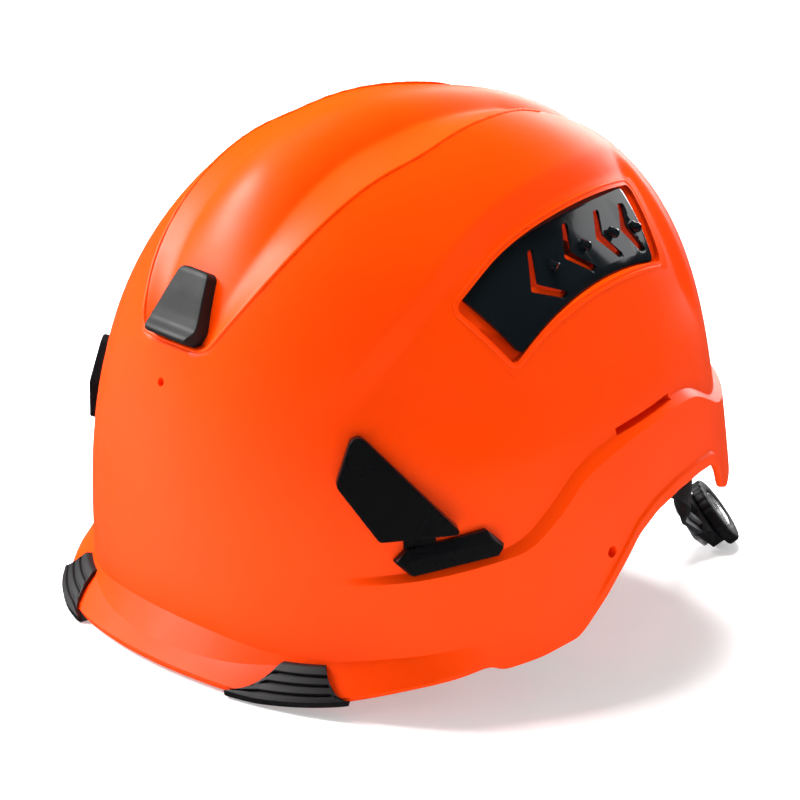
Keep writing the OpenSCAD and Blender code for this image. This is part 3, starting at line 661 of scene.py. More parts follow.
def shell_wall():
    phi = np.arange(COLUMNS) * 360 / COLUMNS - 180
    start = rim_z(phi) + RIM_ROUND
    inside_z = [mix(start, CROWN_H, 1 - (1 - j / ROWS_INSIDE) ** 1.8) for j in range(ROWS_INSIDE)]
    lip_out, lip_in = outer(phi, start), inner(phi, start)
    mid, arm = (lip_out + lip_in) / 2, (lip_out - lip_in) / 2
    rings = [inner(phi, z) for z in reversed(inside_z)]
    for t in (150, 120, 90, 60, 30):
        across = signed_power(cd(t), 0.5)
        rings.append(mid + arm * across - np.array([0, 0, RIM_ROUND]) * abs(sd(t)) ** 0.5)
    rings += list(outer(phi, row_heights(phi)))
    rings = np.array(rings)
    m, n = rings.shape[:2]
    tips = np.array([[0, CROWN_SHIFT, CROWN_H - WALL], [0, CROWN_SHIFT, CROWN_H]])
    return outward((np.concatenate([rings.reshape(-1, 3), tips]), capped_faces(m, n)))


# ---- vent shutters and their pans ----
RHO_MID = 135.5
CHEVRON_TURN = (-13.4, -3.4, 5.4, 12.3)
CHEVRON_HALF = (9.0, 8.5, 8.0, 8.0)
CHEVRON_BACK = (10.8, 8.9, 6.6, 5.4)
CHEVRON_RHO = (133.0, 134.2, 134.5, 134.5)
PEG_TURN = (-6.9, 1.6, 9.3, 15.6)
SLOT_W, SLOT_SHIFT = 3.8, 1.3
SHUTTER_TOP = -PAN_FLOOR + 0.3 + SHUTTER_T


def face_u(rho):
    return -0.0098 * (rho - 118) ** 2 - 0.4 * (rho - 118)


def axial(points):
    """Places (arc length at the middle, rho, height over the panel) on the left side's panel."""
    q = np.asarray(points, float)
    turn, rho = q[..., 0] / RHO_MID, q[..., 1]
    across = (face_u(rho) + q[..., 2])[..., None]
    up = np.array([0, 0, 1.0])
    return (AXIS_AT + (rho * np.cos(turn))[..., None] * up + (rho * np.sin(turn))[..., None] * AXIS_BACK
            + across * AXIS_DIR)


def arc(degrees):
    return math.radians(degrees) * RHO_MID


def chevron(i, shift, grow=0.0):
    half, back = CHEVRON_HALF[i], CHEVRON_BACK[i]
    flat = rounded([(-half, back), (0, 0), (half, back), (half, back + SLOT_W), (0, SLOT_W * 1.25),
                    (-half, back + SLOT_W)], [0.7, 0.6, 0.7, 0.7, 0.6, 0.7], 3)
    flat = inset(anticlockwise(resampled(flat, 1.5)), -grow)
    t = CHEVRON_TURN[i] + shift
    x = (CHEVRON_RHO[i] + flat[:, 0]) * cd(t) - flat[:, 1] * sd(t)
    y = (CHEVRON_RHO[i] + flat[:, 0]) * sd(t) + flat[:, 1] * cd(t)
    return np.stack([np.arctan2(y, x) * RHO_MID, np.hypot(x, y)], -1)


def panel_outline(grow_arc, grow, corner):
    low, high = arc(SHUTTER_FRONT - grow_arc), arc(SHUTTER_FRONT + SHUTTER_ARC + grow_arc)
    corners = [(low, SHUTTER_IN - grow), (high, SHUTTER_IN - grow), (high, SHUTTER_OUT + grow),
               (low, SHUTTER_OUT + grow)]
    return resampled(rounded(corners, corner, 5), 1.5)


def panel_slab(low_h, high_h, grow_arc, grow):
    """Curved slab over the panel between two heights, fine enough to cut from."""
    s = np.linspace(arc(SHUTTER_FRONT - grow_arc), arc(SHUTTER_FRONT + SHUTTER_ARC + grow_arc), 70)
    r = np.linspace(SHUTTER_IN - grow, SHUTTER_OUT + grow, 26)
    gs, gr = np.meshgrid(s, r)
    top = axial(np.stack([gs, gr, 0 * gs + high_h], -1))
    low = axial(np.stack([gs, gr, 0 * gs + low_h], -1))
    m, n = gs.shape
    verts = np.concatenate([top.reshape(-1, 3), low.reshape(-1, 3)])
    faces = ring_quads(m, n, False)
    faces += [tuple(i + m * n for i in reversed(f)) for f in ring_quads(m, n, False)]
    edge = [j * n for j in range(m)] + [(m - 1) * n + i for i in range(1, n)]
    edge += [j * n + n - 1 for j in range(m - 2, -1, -1)] + [i for i in range(n - 2, 0, -1)]
    for a, b in zip(edge, edge[1:] + edge[:1]):
        faces.append((b, a, a + m * n, b + m * n))
    return outward((verts, faces))


def recess_outline():
    return panel_outline(SHUTTER_TRAVEL + 0.4, SHUTTER_GAP, 2.6)


def pocket_cut():
    return prism(recess_outline(), [(0, -PAN_FLOOR), (0, 9)], axial)


def vent_pan(side):
    obj = mesh_object(sided("vent_pan", side), on_side(panel_slab(-PAN_BACK, -1.5, 4.3, 2.8), side), ORANGE)
    boolean(obj, on_side(pocket_cut(), side))
    for i in range(4):
        slot_cut = prism(chevron(i, SLOT_SHIFT), [(0, -PAN_BACK - 4), (0, -PAN_FLOOR + 1)], axial)
        boolean(obj, on_side(slot_cut, side))
    smooth(obj)
    return fit(obj, "helmet", "shell")


def peg(turn):
    base = SHUTTER_TOP - 0.5
    s, c = sd(turn), cd(turn)
    at = AXIS_AT + np.array([0, 0, 135 * c]) + AXIS_BACK * 135 * s + AXIS_DIR * (face_u(135) + base)
    up = np.array([0, 0, 1.0])

    def place(points):
        q = np.asarray(points, float)
        return at + q[..., :1] * up + q[..., 1:2] * AXIS_BACK + q[..., 2:3] * AXIS_DIR

    rim = [(0, 0), (2.3, 0), (2.1, 0.7), (1.95, 1.2), (1.9, 2.6), (1.75, 3.1), (1.35, 3.45), (0.7, 3.3),
           (0, 3.2)]
    return revolved(rim, place, 32)


def vent_shutter(side):
    name = sided("shutter_plate", side)
    low = SHUTTER_TOP - SHUTTER_T
    obj = mesh_object(name, on_side(panel_slab(low, SHUTTER_TOP, 0, 0), side), GLOSS)
    shape = prism(panel_outline(0, -0.02, 2.4),
                  [(0, low - 1), (0, SHUTTER_TOP - 0.45), (0.12, SHUTTER_TOP - 0.17),
                   (0.45, SHUTTER_TOP), (1.4, SHUTTER_TOP + 0.4)], axial)
    boolean(obj, on_side(shape, side), "INTERSECT")
    for i in range(4):
        slot_cut = prism(chevron(i, 0), [(0, low - 1), (0, SHUTTER_TOP - 0.4), (-0.12, SHUTTER_TOP - 0.15),
                                         (-0.4, SHUTTER_TOP), (-0.8, SHUTTER_TOP + 0.4)], axial)
        boolean(obj, on_side(slot_cut, side))
    smooth(obj, 40)
    pegs = mesh_object(name + "_pegs", on_side(merged(*[peg(t) for t in PEG_TURN]), side), GLOSS, 40)
    body = sided("shutter_body", side)
    fit(pegs, body, "shutter")
    return fit(obj, body, "shutter", sided("vent_shutter", side))


FARTHEST_HIT = 0.15


def surface_finder(obj):
    """Finds the shell's surface along a direction, for beads that lie on it."""
    mesh = obj.data
    corners = [Vector(v) for v in vertex_values(mesh, "co")]
    tree = BVHTree.FromPolygons(corners, [list(p.vertices) for p in mesh.polygons])

    def find(point, direction):
        hit = tree.ray_cast(Vector(stood(point)), Vector(TILT @ np.asarray(direction, float)), FARTHEST_HIT)
        return point if hit[0] is None else upright(hit[0])

    return find


def bead_rings(points, across, up, half, height):
    return np.array([points + across * half * cd(t) + up * (height * sd(t) + 0.02)
                     for t in range(0, 360, 45)]).transpose(1, 0, 2)


def ridge_bead(find):
    """Fine crest of the valleys' ridges, which run from the crown and meet in a lip under the front clip."""
    rear, front, above, before = 64, -101, 230, -140
    ridge = np.array([find((ridge_x(y), y, above), (0, 0, -1)) for y in np.arange(rear, front, -1.5)])
    ridge = ridge[ridge[:, 2] > LIP_Z + 1]
    corner = ridge[-1, 0] - 1
    lip = np.array([find((x, before, LIP_Z + 0.3), (0, 1, 0)) for x in np.linspace(corner, -corner, 25)])
    path = np.concatenate([ridge, lip, ridge[::-1] * [-1, 1, 1]])
    for _ in range(6):
        path[1:-1] = (path[:-2] + 2 * path[1:-1] + path[2:]) / 4
    middle = np.array([0, -10, 60])
    path = np.array([find(mix(middle, p, 1.2), middle - p) for p in path])
    up = unit(path - middle)
    along = unit(np.gradient(path, axis=0))
    across = unit(np.cross(along, up))
    part = tube(bead_rings(path, across, up, 0.85, 0.45))
    return fit(mesh_object("ridge_bead", part, ORANGE, 60), "helmet", "shell")


def pocket_bead(find, side):
    """Fine raised line round a shutter's recess."""
    outline = anticlockwise(recess_outline())
    flip = np.array([side, 1, 1])

    def on_surface(flat):
        above = axial(np.concatenate([flat, np.full((len(flat), 1), 9.0)], 1))
        return np.array([find(p * flip, -AXIS_DIR * flip) for p in above])

    points, inner_edge = on_surface(inset(outline, -1.5)), on_surface(inset(outline, -0.7))
    across = unit(points - inner_edge)
    along = unit(np.roll(points, -1, 0) - np.roll(points, 1, 0))
    up = np.cross(along, across)
    up *= np.sign((up * (AXIS_DIR * flip)).sum(1))[:, None]
    rings = bead_rings(points, across, up, 0.62, 0.42)
    m, n = rings.shape[:2]
    faces = [tuple(i % (m * n) for i in face) for face in ring_quads(m + 1, n)]
    part = outward((rings.reshape(-1, 3), faces))
    return fit(mesh_object(sided("recess_bead", side), part, ORANGE, 60), "helmet", "shell")


# ---- shell assembly ----
# Places on the shell, as (azimuth, height)
FRONT_CLIP, REAR_CLIP, SIDE_CLIP, PLUG_HOLE = (0, 136), (180, 122), (47, 73), (57.5, 47.5)
CLIP_NECK, CLIP_PLUG = (53, 55), (58, 49.5)
FRONT_HOLE, SIDE_HOLE, HOLE_DEPTH = (0, 109), (94, 26.5), 3.6
CLIP_CUT = (9.4, 4.4, 20)
SLOT_Z = 68.8


def box_cut(place, size, centre=(0, 0, 0)):
    w, d = size[0] / 2, size[1] / 2
    outline = rounded([(-w, -d), (w, -d), (w, d), (-w, d)], min(w, d) * 0.3, 3) + np.array(centre[:2])
    return prism(outline, [(0, centre[2] - size[2] / 2), (0, centre[2] + size[2] / 2)], place)


def arc_block(phi_a, phi_b, z, half, low, high):
    """Bar that follows the shell between two azimuths, from one height over its surface to another."""
    corners = np.array([(0, -half, low), (0, -half, high), (0, half, high), (0, half, low)])
    return tube([placed(phi, z)(corners) for phi in np.linspace(phi_a, phi_b, 19)])


def ring_outline(radius):
    turn = np.arange(32) * 360 / 32
    return np.stack([radius * cd(turn), radius * sd(turn)], -1)


def hole_cut(place, radius):
    layers = [(0, -HOLE_DEPTH), (0, -0.5), (-0.1, 0.0), (-0.6, 0.5), (-0.6, 9)]
    return prism(ring_outline(radius), layers, place)


def hole_pad(place):
    """Backing inside the shell behind an accessory hole, so that no light shines through it."""
    return prism(ring_outline(4.0), [(0, -HOLE_DEPTH - 1), (0, -1.0)], place)


def shell():
    obj = mesh_object("helmet_shell", shell_wall(), ORANGE)
    find = surface_finder(obj)
    ridge_bead(find)
    for side in (1, -1):
        pocket_bead(find, side)
        cuts = [pocket_cut(), box_cut(placed(*PLUG_HOLE), CLIP_CUT)]
        cuts.append(box_cut(placed(*SIDE_CLIP), CLIP_CUT, (2, 6, 0)))
        boolean(obj, on_side(merged(*cuts), side))
        boolean(obj, on_side(hole_pad(placed(*SIDE_HOLE)), side), "UNION")
        boolean(obj, on_side(hole_cut(placed(*SIDE_HOLE), 2.2), side))
        boolean(obj, on_side(arc_block(102.6, 121.4, SLOT_Z, 3.2, -6.6, -0.8), side), "UNION")
        boolean(obj, on_side(arc_block(103.0, 121.0, SLOT_Z, 1.4, -5.2, 12.0), side))
    boolean(obj, hole_pad(placed(*FRONT_HOLE)), "UNION")
    boolean(obj, hole_cut(placed(*FRONT_HOLE), 1.6))
    for place in (placed(*FRONT_CLIP), placed(*REAR_CLIP)):
        boolean(obj, box_cut(place, (*CLIP_CUT[:2], 24), (0, 6, 0)))
    smooth(obj, 34)
    return fit(obj, "helmet", "shell", "shell")


shell()
for side in (1, -1):
    vent_pan(side)
    vent_shutter(side)


# ---- lamp clips ----
HOOK_TOP = ((-15, 5.0), (-13.4, 5.8), (-12, 5.9), (-10.4, 4.9), (-8.6, 3.7), (-4, 3.3), (4, 3.1), (12, 2.6),
            (15, 1))


def end_clip(name, place, replaced, sink):
    """Hook plate whose lower end curls outward: sections across it, from its lip to its upper edge."""
    outline = rounded([(-8, 13.5), (8, 13.5), (13.5, -8), (11.5, -14), (-11.5, -14), (-13.5, -8)],
                      [3.4, 3.4, 5, 1.6, 1.6, 5], 8)
    right = outline[outline[:, 0] > 0]
    right = right[np.argsort(right[:, 1])]
    ys = np.concatenate([[-13.98, -13.8, -13.4], np.linspace(-13, 12, 60), [12.6, 13.0, 13.3, 13.44, 13.49]])
    widths = np.interp(ys, right[:, 1], right[:, 0])
    tops = np.interp(ys, *zip(*HOOK_TOP)) - sink
    kernel = np.ones(5) / 5
    tops = np.convolve(np.pad(tops, 2, "edge"), kernel, "valid")
    rings = []
    for y, w, top in zip(ys, widths, tops):
        end = min(1, (min(y + 14, 13.5 - y) / 0.9)) ** 0.5
        r = 0.7
        top = top - r * (1 - end)
        section = [(-w, -7), (-w, top - r)]
        section += [(-w + r * (1 - cd(t)), top - r * (1 - sd(t))) for t in (30, 60, 90)]
        section += [(w * k, top + 0.25 * (1 - k * k)) for k in (-0.6, -0.3, 0, 0.3, 0.6)]
        section += [(w - r * (1 - cd(t)), top - r * (1 - sd(t))) for t in (90, 60, 30)]
        section += [(w, top - r), (w, -7)]
        rings.append([(x, y, h) for x, h in section])
    plate = tube(place(np.array(rings)))
    return fit(mesh_object(name, plate, CHARCOAL, 40), "helmet", "clip", replaced)


def leaning(place):
    """Sinks a plate's upper end, to follow the dome."""
    def lean(points):
        q = np.array(points, float)
        q[..., 2] -= 0.06 * (q[..., 1] + 5)
        return place(q)

    return lean


def side_clip(side):
    outline = rounded([(-6, 27.5), (-15, 8), (-1.5, -14.6), (29, -15.4)], [3.6, 4.2, 2.2, 1.3], 6)
    plate = prism(outline, [(0, -6), (0, 3.5), (0.12, 3.85), (0.4, 4.1), (0.8, 4.18), (1.3, 4.2)],
                  leaning(placed(*SIDE_CLIP)))
    neck = prism(rounded([(-6, -7), (6, -7), (7, 6), (-5, 6)], 1.0, 3), [(0, -5), (0, 1.2), (0.4, 1.5)],
                 placed(*CLIP_NECK))
    low = anticlockwise(rounded([(-20, 1.5), (-15, 5.5), (16, 5.8), (22, -1), (19, -4.4), (-15, -4.6)],
                                [0.8, 1, 1, 0.8, 1, 1], 4))
    high = anticlockwise(rounded([(-17.6, -0.4), (-15, 1.9), (17, 2.2), (20.9, -1.5), (18.6, -4.2),
                                  (-14.6, -4.4)], [0.8, 1, 1, 0.8, 1, 1], 4))
    place = placed(*CLIP_PLUG)
    layers = ((low, -6), (low, 1.3), (inset(low, 0.15), 1.65), (high, 3.35), (inset(high, 0.3), 3.5))
    rings = [np.concatenate([flat, np.full((len(flat), 1), h)], 1) for flat, h in layers]
    plug = tube(place(np.array(rings)))
    part = on_side(merged(plate, neck, plug), side)
    obj = mesh_object(sided("clip_plate", side), part, BLACK_PLATE, 24)
    return fit(obj, "helmet", "clip", sided("lamp_clip", side))


end_clip("front_clip_plate", placed(*FRONT_CLIP), "front_lamp_clip", 3.0)
end_clip("rear_clip_plate", placed(*REAR_CLIP), "rear_lamp_clip", 0.4)
for side in (1, -1):
    side_clip(side)


# ---- brim bumpers ----
BUMPER_FROM, BUMPER_TO, BUMPER_T, GROOVE_T = 18.6, 38.7, 1.8, 0.8
GROOVES = (0.355, 0.605, 0.855)


def bumper_profile():
    """(fraction down the face, height) pairs, with three rounded grooves along the bumper."""
    pairs = [(0, 0), (0.06, BUMPER_T - 0.7), (0.10, BUMPER_T - 0.2), (0.14, BUMPER_T)]
    for g in GROOVES:
        for shift, dip in ((-0.055, 0), (-0.04, 0.15), (-0.026, 0.8), (-0.015, 1), (0.015, 1), (0.026, 0.8),
                           (0.04, 0.15), (0.055, 0)):
            pairs.append((g + shift, BUMPER_T - dip * (BUMPER_T - GROOVE_T)))
    return pairs + [(0.94, BUMPER_T), (1, BUMPER_T - 0.1)]


def bumper_section(t):
    low, high = mix(BUMPER_FROM, BUMPER_TO, t), mix(24, 36, t)
    rim = float(line_z(RIM_LINE, low))
    top = 8.8 * min(1, t / 0.26, (1 - t) / 0.12) + 0.6
    shrink = min(1, min(t, 1 - t) / 0.03) ** 0.5
    points = []
    for r, h in bumper_profile():
        phi, z = mix(high, low, r), mix(rim + top, rim, r)
        points.append(outer(phi, z) + skin_normal(phi, z) * h * mix(0.55, 1, shrink))
    n = skin_normal(low, rim)
    edge = outer(low, rim)
    points.append(edge + np.array([n[0], n[1], 0]) * (BUMPER_T - 0.3) * mix(0.6, 1, shrink) - [0, 0, 1.3])
    points.append(edge + np.array([n[0], n[1], 0]) * (BUMPER_T - 1.2) * mix(0.6, 1, shrink) - [0, 0, 1.7])
    points.append(edge * [0.955, 0.955, 1] - [0, 0, 1.7])
    points.append(edge * [0.955, 0.955, 1] + [0, 0, 1])
    for s in (0.7, 0.35, 0):
        phi, z = mix(high, low, s), mix(rim + top, rim, s)
        points.append(outer(phi, z) - skin_normal(phi, z) * 1.2)
    return points


def brim_bumper(side):
    ts = np.concatenate([[0.0, 0.004, 0.012], np.linspace(0.025, 0.975, 60), [0.988, 0.996, 1.0]])
    part = tube([bumper_section(t) for t in ts])
    obj = mesh_object(sided("bumper", side), on_side(part, side), RUBBER, 30)
    return fit(obj, "helmet", "rubber", sided("brim_bumper", side))


for side in (1, -1):
    brim_bumper(side)


# ---- nape dial ----
DIAL_D, DIAL_LEAN, DIAL_PITCH = 31.0, 32.0, 38.0
DIAL_AT = np.array([0, 175.2, -58.3])
DIAL_N = np.array([sd(DIAL_LEAN), cd(DIAL_LEAN) * cd(DIAL_PITCH), cd(DIAL_LEAN) * sd(DIAL_PITCH)])
DIAL_X = flat_to([1, 0, 0], DIAL_N)
DIAL_Y = np.cross(DIAL_N, DIAL_X)
KNOB_T = 5.0
CAP_R = DIAL_D * 0.28
SCALLOPS = 24


def dial_place(points):
    q = np.asarray(points, float)
    return DIAL_AT + q[..., :1] * DIAL_X + q[..., 1:2] * DIAL_Y + q[..., 2:3] * DIAL_N


def knob_radius(r, turn):
    bite = 0.5 * (0.5 + 0.5 * np.cos(np.radians(SCALLOPS * turn))) ** 2
    return r - bite * rise(DIAL_D / 2 - 1.7, DIAL_D / 2 - 0.5, r)


def dial():
    edge = DIAL_D / 2
    knob = [(0, -KNOB_T), (edge - 1.0, -KNOB_T), (edge - 0.4, -KNOB_T + 0.15), (edge - 0.08, -KNOB_T + 0.5),
            (edge, -KNOB_T + 0.9), (edge, -1.4), (edge - 0.12, -0.85), (edge - 0.5, -0.4), (edge - 1.1, -0.1),
            (edge - 1.8, 0), (CAP_R + 1.6, 0), (CAP_R + 1.1, -0.1), (CAP_R + 0.5, -0.5), (CAP_R + 0.1, -1.1),
            (CAP_R, -1.6), (0, -1.6)]
    fit(mesh_object("dial_wheel", revolved(knob, dial_place, 288, knob_radius), RUBBER, 35), "dial", "rubber",
        "dial_knob")
    r = CAP_R - 0.05
    cap = [(0, -1.6), (r, -1.6), (r, -0.75), (r - 0.12, -0.55), (r - 0.4, -0.48), (r - 0.8, -0.55),
           (r - 1.2, -0.75), (r * 0.75, -0.95), (r * 0.5, -1.1), (r * 0.25, -1.19), (r * 0.1, -1.21),
           (0, -1.22)]
    metal = turned_metal("turned_disc", tuple(stood(DIAL_AT)))
    fit(mesh_object("dial_disc", revolved(cap, dial_place, 96), metal, 35), "dial", "metal", "dial_cap")


dial()


# ---- webbing ----
def ribbon(path, side_a, side_b, width, thickness):
    """Webbing along a path: soft edges, and UVs in millimetres along and across it."""
    path = np.asarray(path, float)
    last = len(path) - 1
    shape = []
    for k in (-1, -0.97, -0.85, -0.5, 0, 0.5, 0.85, 0.97, 1):
        shape.append((k, 0.5 * (1 - abs(k) ** 12)))
    shape = [(k, -max(h, 0.12)) for k, h in shape] + [(k, max(h, 0.12)) for k, h in reversed(shape)]
    rings, uvs, run = [], [], 0.0
    for i in range(last + 1):
        d = unit(path[min(i + 1, last)] - path[max(i - 1, 0)])
        s = flat_to(mix(np.asarray(side_a, float), np.asarray(side_b, float), i / last), d)
        n = np.cross(d, s)
        if i:
            run += float(np.linalg.norm(path[i] - path[i - 1]))
        rings.append([path[i] + s * k * width / 2 + n * h * thickness for k, h in shape])
        uvs += [(k * width / 2, run) for k, h in shape]
    part = tube(rings)
    uvs += [(0, 0), (0, run)]
    return part, uvs


def stitches(path, side, width, thickness, start, rows=5, gap=2.2):
    """Bar of short thread stitches across a strap, on both of its faces, from a given point of its path."""
    parts = []
    for j in range(rows):
        i = start + j
        d = unit(path[i + 1] - path[i])
        s = flat_to(side, d)
        n = np.cross(d, s)
        for k in np.arange(-width / 2 + 2, width / 2 - 1.9, gap):
            for face in (-1, 1):
                mid = path[i] + s * k + n * face * (thickness / 2 + 0.05)
                rings = []
                for t, r in ((-0.85, 0.1), (-0.6, 0.24), (0, 0.3), (0.6, 0.24), (0.85, 0.1)):
                    centre = mid + s * t + d * t * 0.35
                    rings.append([centre + d * r * cd(a) + n * r * 0.7 * sd(a) for a in range(0, 360, 60)])
                parts.append(tube(rings))
    return merged(*parts)


ANCHOR_Z, ANCHOR_T, STRAP_T, CROWN_Z, APEX_Y = 52.0, 5.5, 1.0, 140.0, -4
CROWN_STRAP_W, CHIN_STRAP_W, WEB_T = 20.0, 15.0, 1.2


def anchor_face(phi, up):
    n = skin_normal(phi, ANCHOR_Z)
    side = unit(np.cross([0, 0, 1], n))
    return inner(phi, ANCHOR_Z) - n * (ANCHOR_T + STRAP_T / 2 + 0.8) + np.cross(n, side) * up


def strap(name, path, side_a, side_b, width, thickness):
    part, uv = ribbon(path, side_a, side_b, width, thickness)
    return fit(mesh_object(name + "_web", part, WEBBING, 60, uv), "helmet", "webbing", name)


def crown_strap(name, phi_a, phi_b, lift):
    apex = np.array([0, APEX_Y, CROWN_Z + lift])
    halves, across = [], []
    for phi in (phi_a, phi_b):
        e = anchor_face(phi, -7)
        n = skin_normal(phi, ANCHOR_Z)
        out = unit([n[0], n[1], 0])
        points = (e, e + [0, 0, 58] - out * 2, apex + out * 48, apex)
        halves.append([bezier(points, t) for t in np.arange(0, 0.99, 0.02)])
        across.append(unit(np.cross([0, 0, 1], n)))
    path = np.array(halves[0] + [apex] + halves[1][::-1])
    strap(name, path, across[0], -across[1], CROWN_STRAP_W, STRAP_T)
    thread = merged(stitches(path, across[0], CROWN_STRAP_W, STRAP_T, 5),
                    stitches(path[::-1], across[1], CROWN_STRAP_W, STRAP_T, 5))
    fit(mesh_object(name + "_stitches", thread, THREAD, 60), "helmet", "webbing")


crown_strap("crown_strap_left", 38, -142, 0)
crown_strap("crown_strap_right", -38, 142, 1.8)
crown_strap("crown_strap_side", 90, -90, 3.6)

LEG_Z = 40.0
DIVIDER_AT = np.array([86.0, 2, -2])
BUCKLE_AT = np.array([0.0, -4, -22])


def leg(name, side, phi):
    n = skin_normal(side * phi, LEG_Z)
    top = inner(side * phi, LEG_Z) - n * (4.6 + WEB_T / 2) - [0, 0, 2]
    lean = -5 if phi < 90 else 5
    low = np.array([side * DIVIDER_AT[0], DIVIDER_AT[1] + lean * 1.6, DIVIDER_AT[2] + 11.2])
    points = (top, top - [0, 0, 12], low + [0, 0, 16], low)
    path = np.array([bezier(points, t) for t in np.linspace(0, 1, 33)])
    along = unit(np.cross(n, [0, 0, 1]))
    strap(name, path, along, [0, 1 if along[1] > 0 else -1, 0], CHIN_STRAP_W, WEB_T)


for side_name, side in (("left", 1), ("right", -1)):
    leg(side_name + "_front_leg", side, 66)
    leg(side_name + "_rear_leg", side, 121)


def chin_strap(name, side):
    start = np.array([side * (DIVIDER_AT[0] - 3.4), DIVIDER_AT[1], DIVIDER_AT[2] - 6.6])
    stop = np.array([side * 17.5, BUCKLE_AT[1], BUCKLE_AT[2]])
    points = (start, start - [side * 14, 0, 20], stop + [side * 26, 0, -1], stop)
    path = np.array([bezier(points, t) for t in np.linspace(0, 1, 41)])
    strap(name, path, [0, 1, 0], [0, 1, 0], CHIN_STRAP_W, WEB_T)
    fit(mesh_object(name + "_stitches", stitches(path, [0, 1, 0], CHIN_STRAP_W, WEB_T, 3), THREAD, 60),
        "helmet", "webbing")


chin_strap("left_chin_strap", 1)
chin_strap("right_chin_strap", -1)


# ---- pads ----
BAND_A, BAND_B, BAND_Y, BAND_LOW, BAND_H = 79.0, 106.0, 10.0, 14.0, 24.0
PAD_REACH = 46.0
CHANNEL_GAP = 15.0


def puffed(obj, voxel, cap, pressure=4.0):
    """Remeshes a pad, blows it up gently as cloth, and limits how far any point has moved."""
    mod = obj.modifiers.new("remesh", "REMESH")
    mod.mode = "VOXEL"
    mod.voxel_size = voxel * MM
    mod.use_smooth_shade = True
    applied(obj)
    mesh = obj.data
    rest = vertex_values(mesh, "co")
    mod = obj.modifiers.new("cloth", "CLOTH")
    mod.settings.use_pressure = True
    mod.settings.uniform_pressure_force = pressure
    mod.settings.effector_weights.gravity = 0
    mod.point_cache.frame_start = 1
    mod.point_cache.frame_end = 20
    for f in range(1, 21):
        scene.frame_set(f)
    graph = bpy.context.evaluated_depsgraph_get()
    move = vertex_values(obj.evaluated_get(graph).data, "co") - rest
    obj.modifiers.clear()
    scene.frame_set(1)
    size = np.linalg.norm(move, axis=1, keepdims=True)
    move *= np.minimum(1, cap * MM / np.maximum(size, 1e-9))
    mesh.vertices.foreach_set("co", (rest + move).ravel())
    mesh.update()
    mod = obj.modifiers.new("finer", "SUBSURF")
    mod.levels = mod.render_levels = 1
    return applied(obj)


def sewn(obj, depth_at):
    """Presses seams into a pad: depth_at gives each point's depth in mm, from points in upright mm."""
    mesh = obj.data
    co = vertex_values(mesh, "co")
    co = co - vertex_values(mesh, "normal") * depth_at(upright(co))[:, None] * MM
    mesh.vertices.foreach_set("co", co.ravel())
    mesh.update()
    smooth(obj, 80)


def band_point(t, grow):
    return np.stack([(BAND_A + grow) * sd(t), BAND_Y - (BAND_B + grow) * cd(t)], -1)


def forehead_pad():
    rings = []
    for t in np.linspace(-PAD_REACH + 0.8, PAD_REACH - 0.8, 80):
        end = min(1, (PAD_REACH - abs(t)) / 5) ** 0.5
        half = (BAND_H + 8) / 2 - 1.2
        mid_z = BAND_LOW - 3 + (BAND_H + 8) / 2
        ring = []
        for a in range(0, 360, 15):
            x = signed_power(cd(a), 0.6)
            z = signed_power(sd(a), 0.5)
            flat = band_point(t, -2.85 + 1.7 * x * mix(0.6, 1, end))
            ring.append((flat[0], flat[1], mid_z + half * z * mix(0.8, 1, end)))
        rings.append(ring)
    obj = mesh_object("brow_cushion", tube(rings), MESH, 80)
    puffed(obj, 1.7, 0.7)

    def channels(p):
        t = np.degrees(np.arctan2(p[:, 0] / BAND_A, (BAND_Y - p[:, 1]) / BAND_B))
        run = t * 1.65
        gap = np.abs((run + CHANNEL_GAP / 2) % CHANNEL_GAP - CHANNEL_GAP / 2)
        mid_z = BAND_LOW - 3 + (BAND_H + 8) / 2
        edge = np.abs(np.abs(p[:, 2] - mid_z) - 12.5)
        up = np.clip(1 - edge / 3, 0, 1)
        inside = np.abs(p[:, 2] - mid_z) < 12.5
        return 0.7 * np.exp(-(gap / 1.1) ** 2) * inside + 0.55 * np.exp(-(edge / 0.9) ** 2) * (up > 0)

    sewn(obj, channels)
    return fit(obj, "helmet", "foam", "forehead_pad")


def crown_pad():
    profile = [(0, -0.5), (8, -0.7), (15, -1.4), (21, -2.5), (24, -3.4), (24.9, -4.4), (24.3, -5.6),
               (21, -6.0), (15, -5.2), (8, -4.3), (0, -3.9)]
    middle = np.array([0, APEX_Y, CROWN_Z - 0.9])
    obj = mesh_object("crown_cushion", revolved(profile, lambda q: np.asarray(q) + middle, 72), MESH, 80)
    puffed(obj, 1.7, 0.35)

    def rings(p):
        r = np.hypot(p[:, 0], p[:, 1] - APEX_Y)
        turn = np.degrees(np.arctan2(p[:, 1] - APEX_Y, p[:, 0])) % 60
        spoke = np.abs(turn - 30) * np.pi / 180 * r
        edge_seam = 0.55 * np.exp(-((r - 21.5) / 0.9) ** 2)
        return edge_seam + 0.4 * np.exp(-(spoke / 1.1) ** 2) * (r > 8) * (r < 20)

    sewn(obj, rings)
    return fit(obj, "helmet", "foam", "crown_pad")


HOUSING_TOP, HOUSING_T, FORK, RACK_X, WING = -KNOB_T - 1.4, 4.6, 18.0, 7.4, 19.0


